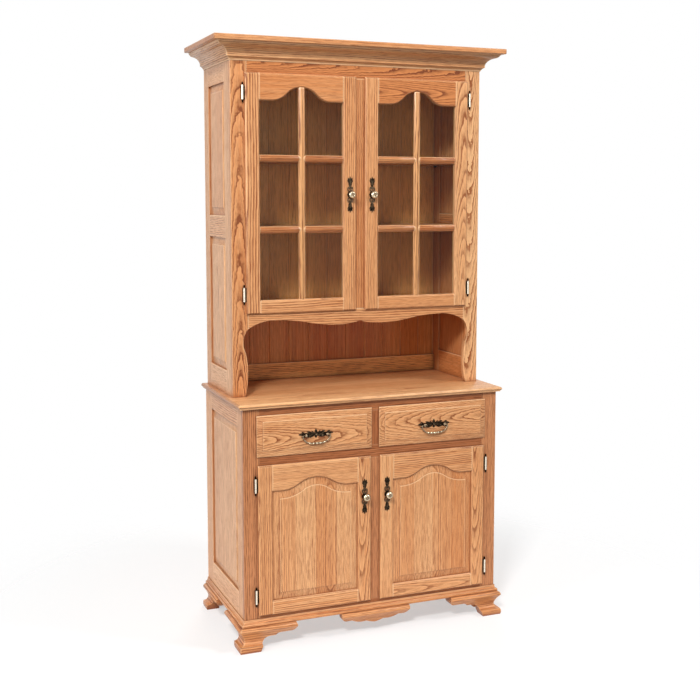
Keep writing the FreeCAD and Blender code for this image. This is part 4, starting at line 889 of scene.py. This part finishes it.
bail = {
    "bow": [  # across and down as shares, and the radius in mm, from one pivot to the middle
        (0.90, 0.0, 1.6), (0.99, 0.04, 1.9), (1.0, 0.18, 2.0), (0.90, 0.52, 2.2),
        (0.70, 0.82, 2.6), (0.44, 0.97, 3.0), (0.14, 1.0, 3.0),
    ],
    "inset": 2.5 * mm,  # from the box to the middle of the bow
    "beads": (-0.52, -0.26, 0, 0.26, 0.52),
    "bead": [(0.2, -1.0), (0.75, -0.66), (1.0, 0.0), (0.75, 0.66), (0.2, 1.0)],  # radius and out as shares
    "beadRadius": 4.0 * mm,  # of the middle bead, and how much the others lose
    "beadLoss": 1.5 * mm,
    "beadRise": 0.25,  # how far the outer beads follow the bow up
    "beadShine": 0.75,
    "polish": 0.2,
}


def bails():
    for side in ("left", "right"):
        node = f"{side}_drawer_bail"
        low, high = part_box(node)
        pivot = joint[f"{side}_drawer_bail_hinge"]["pos_m"]
        cast = Casting(*pivot)
        span = (high.x - low.x) / 2 - bail["inset"]
        drop = pivot[2] - low.z - bail["inset"]
        path = [(x * span, -z * drop, 0, size * mm) for x, z, size in bail["bow"]]
        path += [(-x, z, 0, size) for x, z, out, size in reversed(path)]
        cast.rolled(path, 14, 8)
        for across in bail["beads"]:
            radius = bail["beadRadius"] - bail["beadLoss"] * abs(across)
            bead = [(r * radius, out * radius, 0) for r, out in bail["bead"]]
            up = -drop * (1 - bail["beadRise"] * across**2)
            cast.turned(across * span, up, bead, bail["beadShine"], 16)
        cast.rubs = [min(rub + bail["polish"], 1.0) for rub in cast.rubs]
        cast.stand(f"{side}DrawerBail", node)


knobs()
pulls()
bails()
print("brass made")


# Room, light and camera
studio = {
    "world": 0.20,
    "floorHalf": 2.0,
    "floorFade": (0.9, 1.7),  # the floor thins out to the white room between these distances
    "floorGlow": 0.5,
}


def seenShare(wire):  # 1 where the room is seen by the camera, in a gleam or through glass
    path = wire.node("ShaderNodeLightPath", {}, {}, "Is Camera Ray")
    return (path + path.other("Is Glossy Ray") + path.other("Is Transmission Ray")).clamped()


def studioFloor():
    made, wire = newMaterial("paleFloor")
    place = wire.node("ShaderNodeTexCoord", {}, {}, "Object")
    far = wire.node("ShaderNodeVectorMath", {"operation": "LENGTH"}, {0: place}, "Value")
    cloud = wire.noise(place)
    colour = cloud.mixed(paint(250, 250, 250), paint(252, 252, 252))
    shaded = wire.node("ShaderNodeBsdfPrincipled", {}, {"Base Color": colour, "Roughness": 0.9})
    white = wire.node("ShaderNodeEmission", {}, {"Color": paint(255, 255, 255), "Strength": 1.0})
    glow = seenShare(wire) * studio["floorGlow"]
    lit = wire.node("ShaderNodeMixShader", {}, {0: glow, 1: shaded, 2: white})
    clear = wire.node("ShaderNodeBsdfTransparent", {}, {"Color": paint(255, 255, 255)})
    fade = far.eased(*studio["floorFade"])
    surface(wire, wire.node("ShaderNodeMixShader", {}, {0: fade, 1: lit, 2: clear}))
    half = studio["floorHalf"]
    corners = [(-half, -half, 0), (half, -half, 0), (half, half, 0), (-half, half, 0)]
    mesh = bpy.data.meshes.new("studioFloor")
    mesh.from_pydata(corners, [], [(0, 1, 2, 3)])
    mesh.materials.append(made)
    floor = bpy.data.objects.new("studioFloor", mesh)
    floor.location.z = cadLow[2]
    bpy.context.scene.collection.objects.link(floor)


def studioWorld():
    world = bpy.data.worlds.new("studio")
    world.use_nodes = True
    world.node_tree.nodes.clear()
    wire = Wire(world.node_tree)
    colour = paint(255, 255, 255)
    room = wire.node("ShaderNodeBackground", {}, {"Color": colour, "Strength": studio["world"]})
    white = wire.node("ShaderNodeBackground", {}, {"Color": colour, "Strength": 1.0})
    shader = wire.node("ShaderNodeMixShader", {}, {0: seenShare(wire), 1: room, 2: white})
    wire.node("ShaderNodeOutputWorld", {}, {"Surface": shader})
    bpy.context.scene.world = world


lamps = {
    "keyLamp": {"place": (-3.0, -4.6, 4.9), "aim": (0.0, 0.0, 1.0), "size": 0.9, "power": 336},
    "leftLamp": {"place": (-4.0, -1.0, 2.2), "aim": (0.0, 0.0, 1.0), "size": 2.0, "power": 62},
    "rightLamp": {"place": (3.2, -2.6, 4.4), "aim": (0.0, 0.0, 1.0), "size": 1.0, "power": 110},
    "frontLamp": {"place": (-0.8, -5.2, 1.5), "aim": (0.0, 0.0, 1.3), "size": 1.6, "power": 15},
    "rearLamp": {
        "place": (1.6, 4.4, 1.8), "aim": (0.0, 0.0, 1.0), "size": 2.0, "power": 130, "gleams": False,
    },
}


def studioLamps():
    for name, lamp in lamps.items():
        light = bpy.data.lights.new(name, "AREA")
        light.energy = lamp["power"]
        light.size = lamp["size"]
        made = bpy.data.objects.new(name, light)
        made.location = lamp["place"]
        made.visible_glossy = lamp.get("gleams", True)  # no glare along the sides from behind
        made.rotation_euler = (Vector(lamp["aim"]) - made.location).to_track_quat("-Z", "Y").to_euler()
        bpy.context.scene.collection.objects.link(made)


view = {
    "place": (-1.4792, -3.6474, 1.5086), "yaw": 22.0, "pitch": 5.55,
    "lens": 57.0, "sensor": 36.0, "shift": -0.065,
}


def photoCamera():
    lens = bpy.data.cameras.new("photoCamera")
    lens.lens = view["lens"]
    lens.sensor_width = view["sensor"]
    lens.shift_y = view["shift"]
    camera = bpy.data.objects.new("photoCamera", lens)
    camera.location = view["place"]
    camera.rotation_euler = (math.radians(90 - view["pitch"]), 0.0, math.radians(-view["yaw"]))
    bpy.context.scene.collection.objects.link(camera)
    bpy.context.scene.camera = camera


studioFloor()
studioWorld()
studioLamps()
photoCamera()
bpy.context.scene.view_settings.view_transform = "Standard"
print("room, light and camera made")
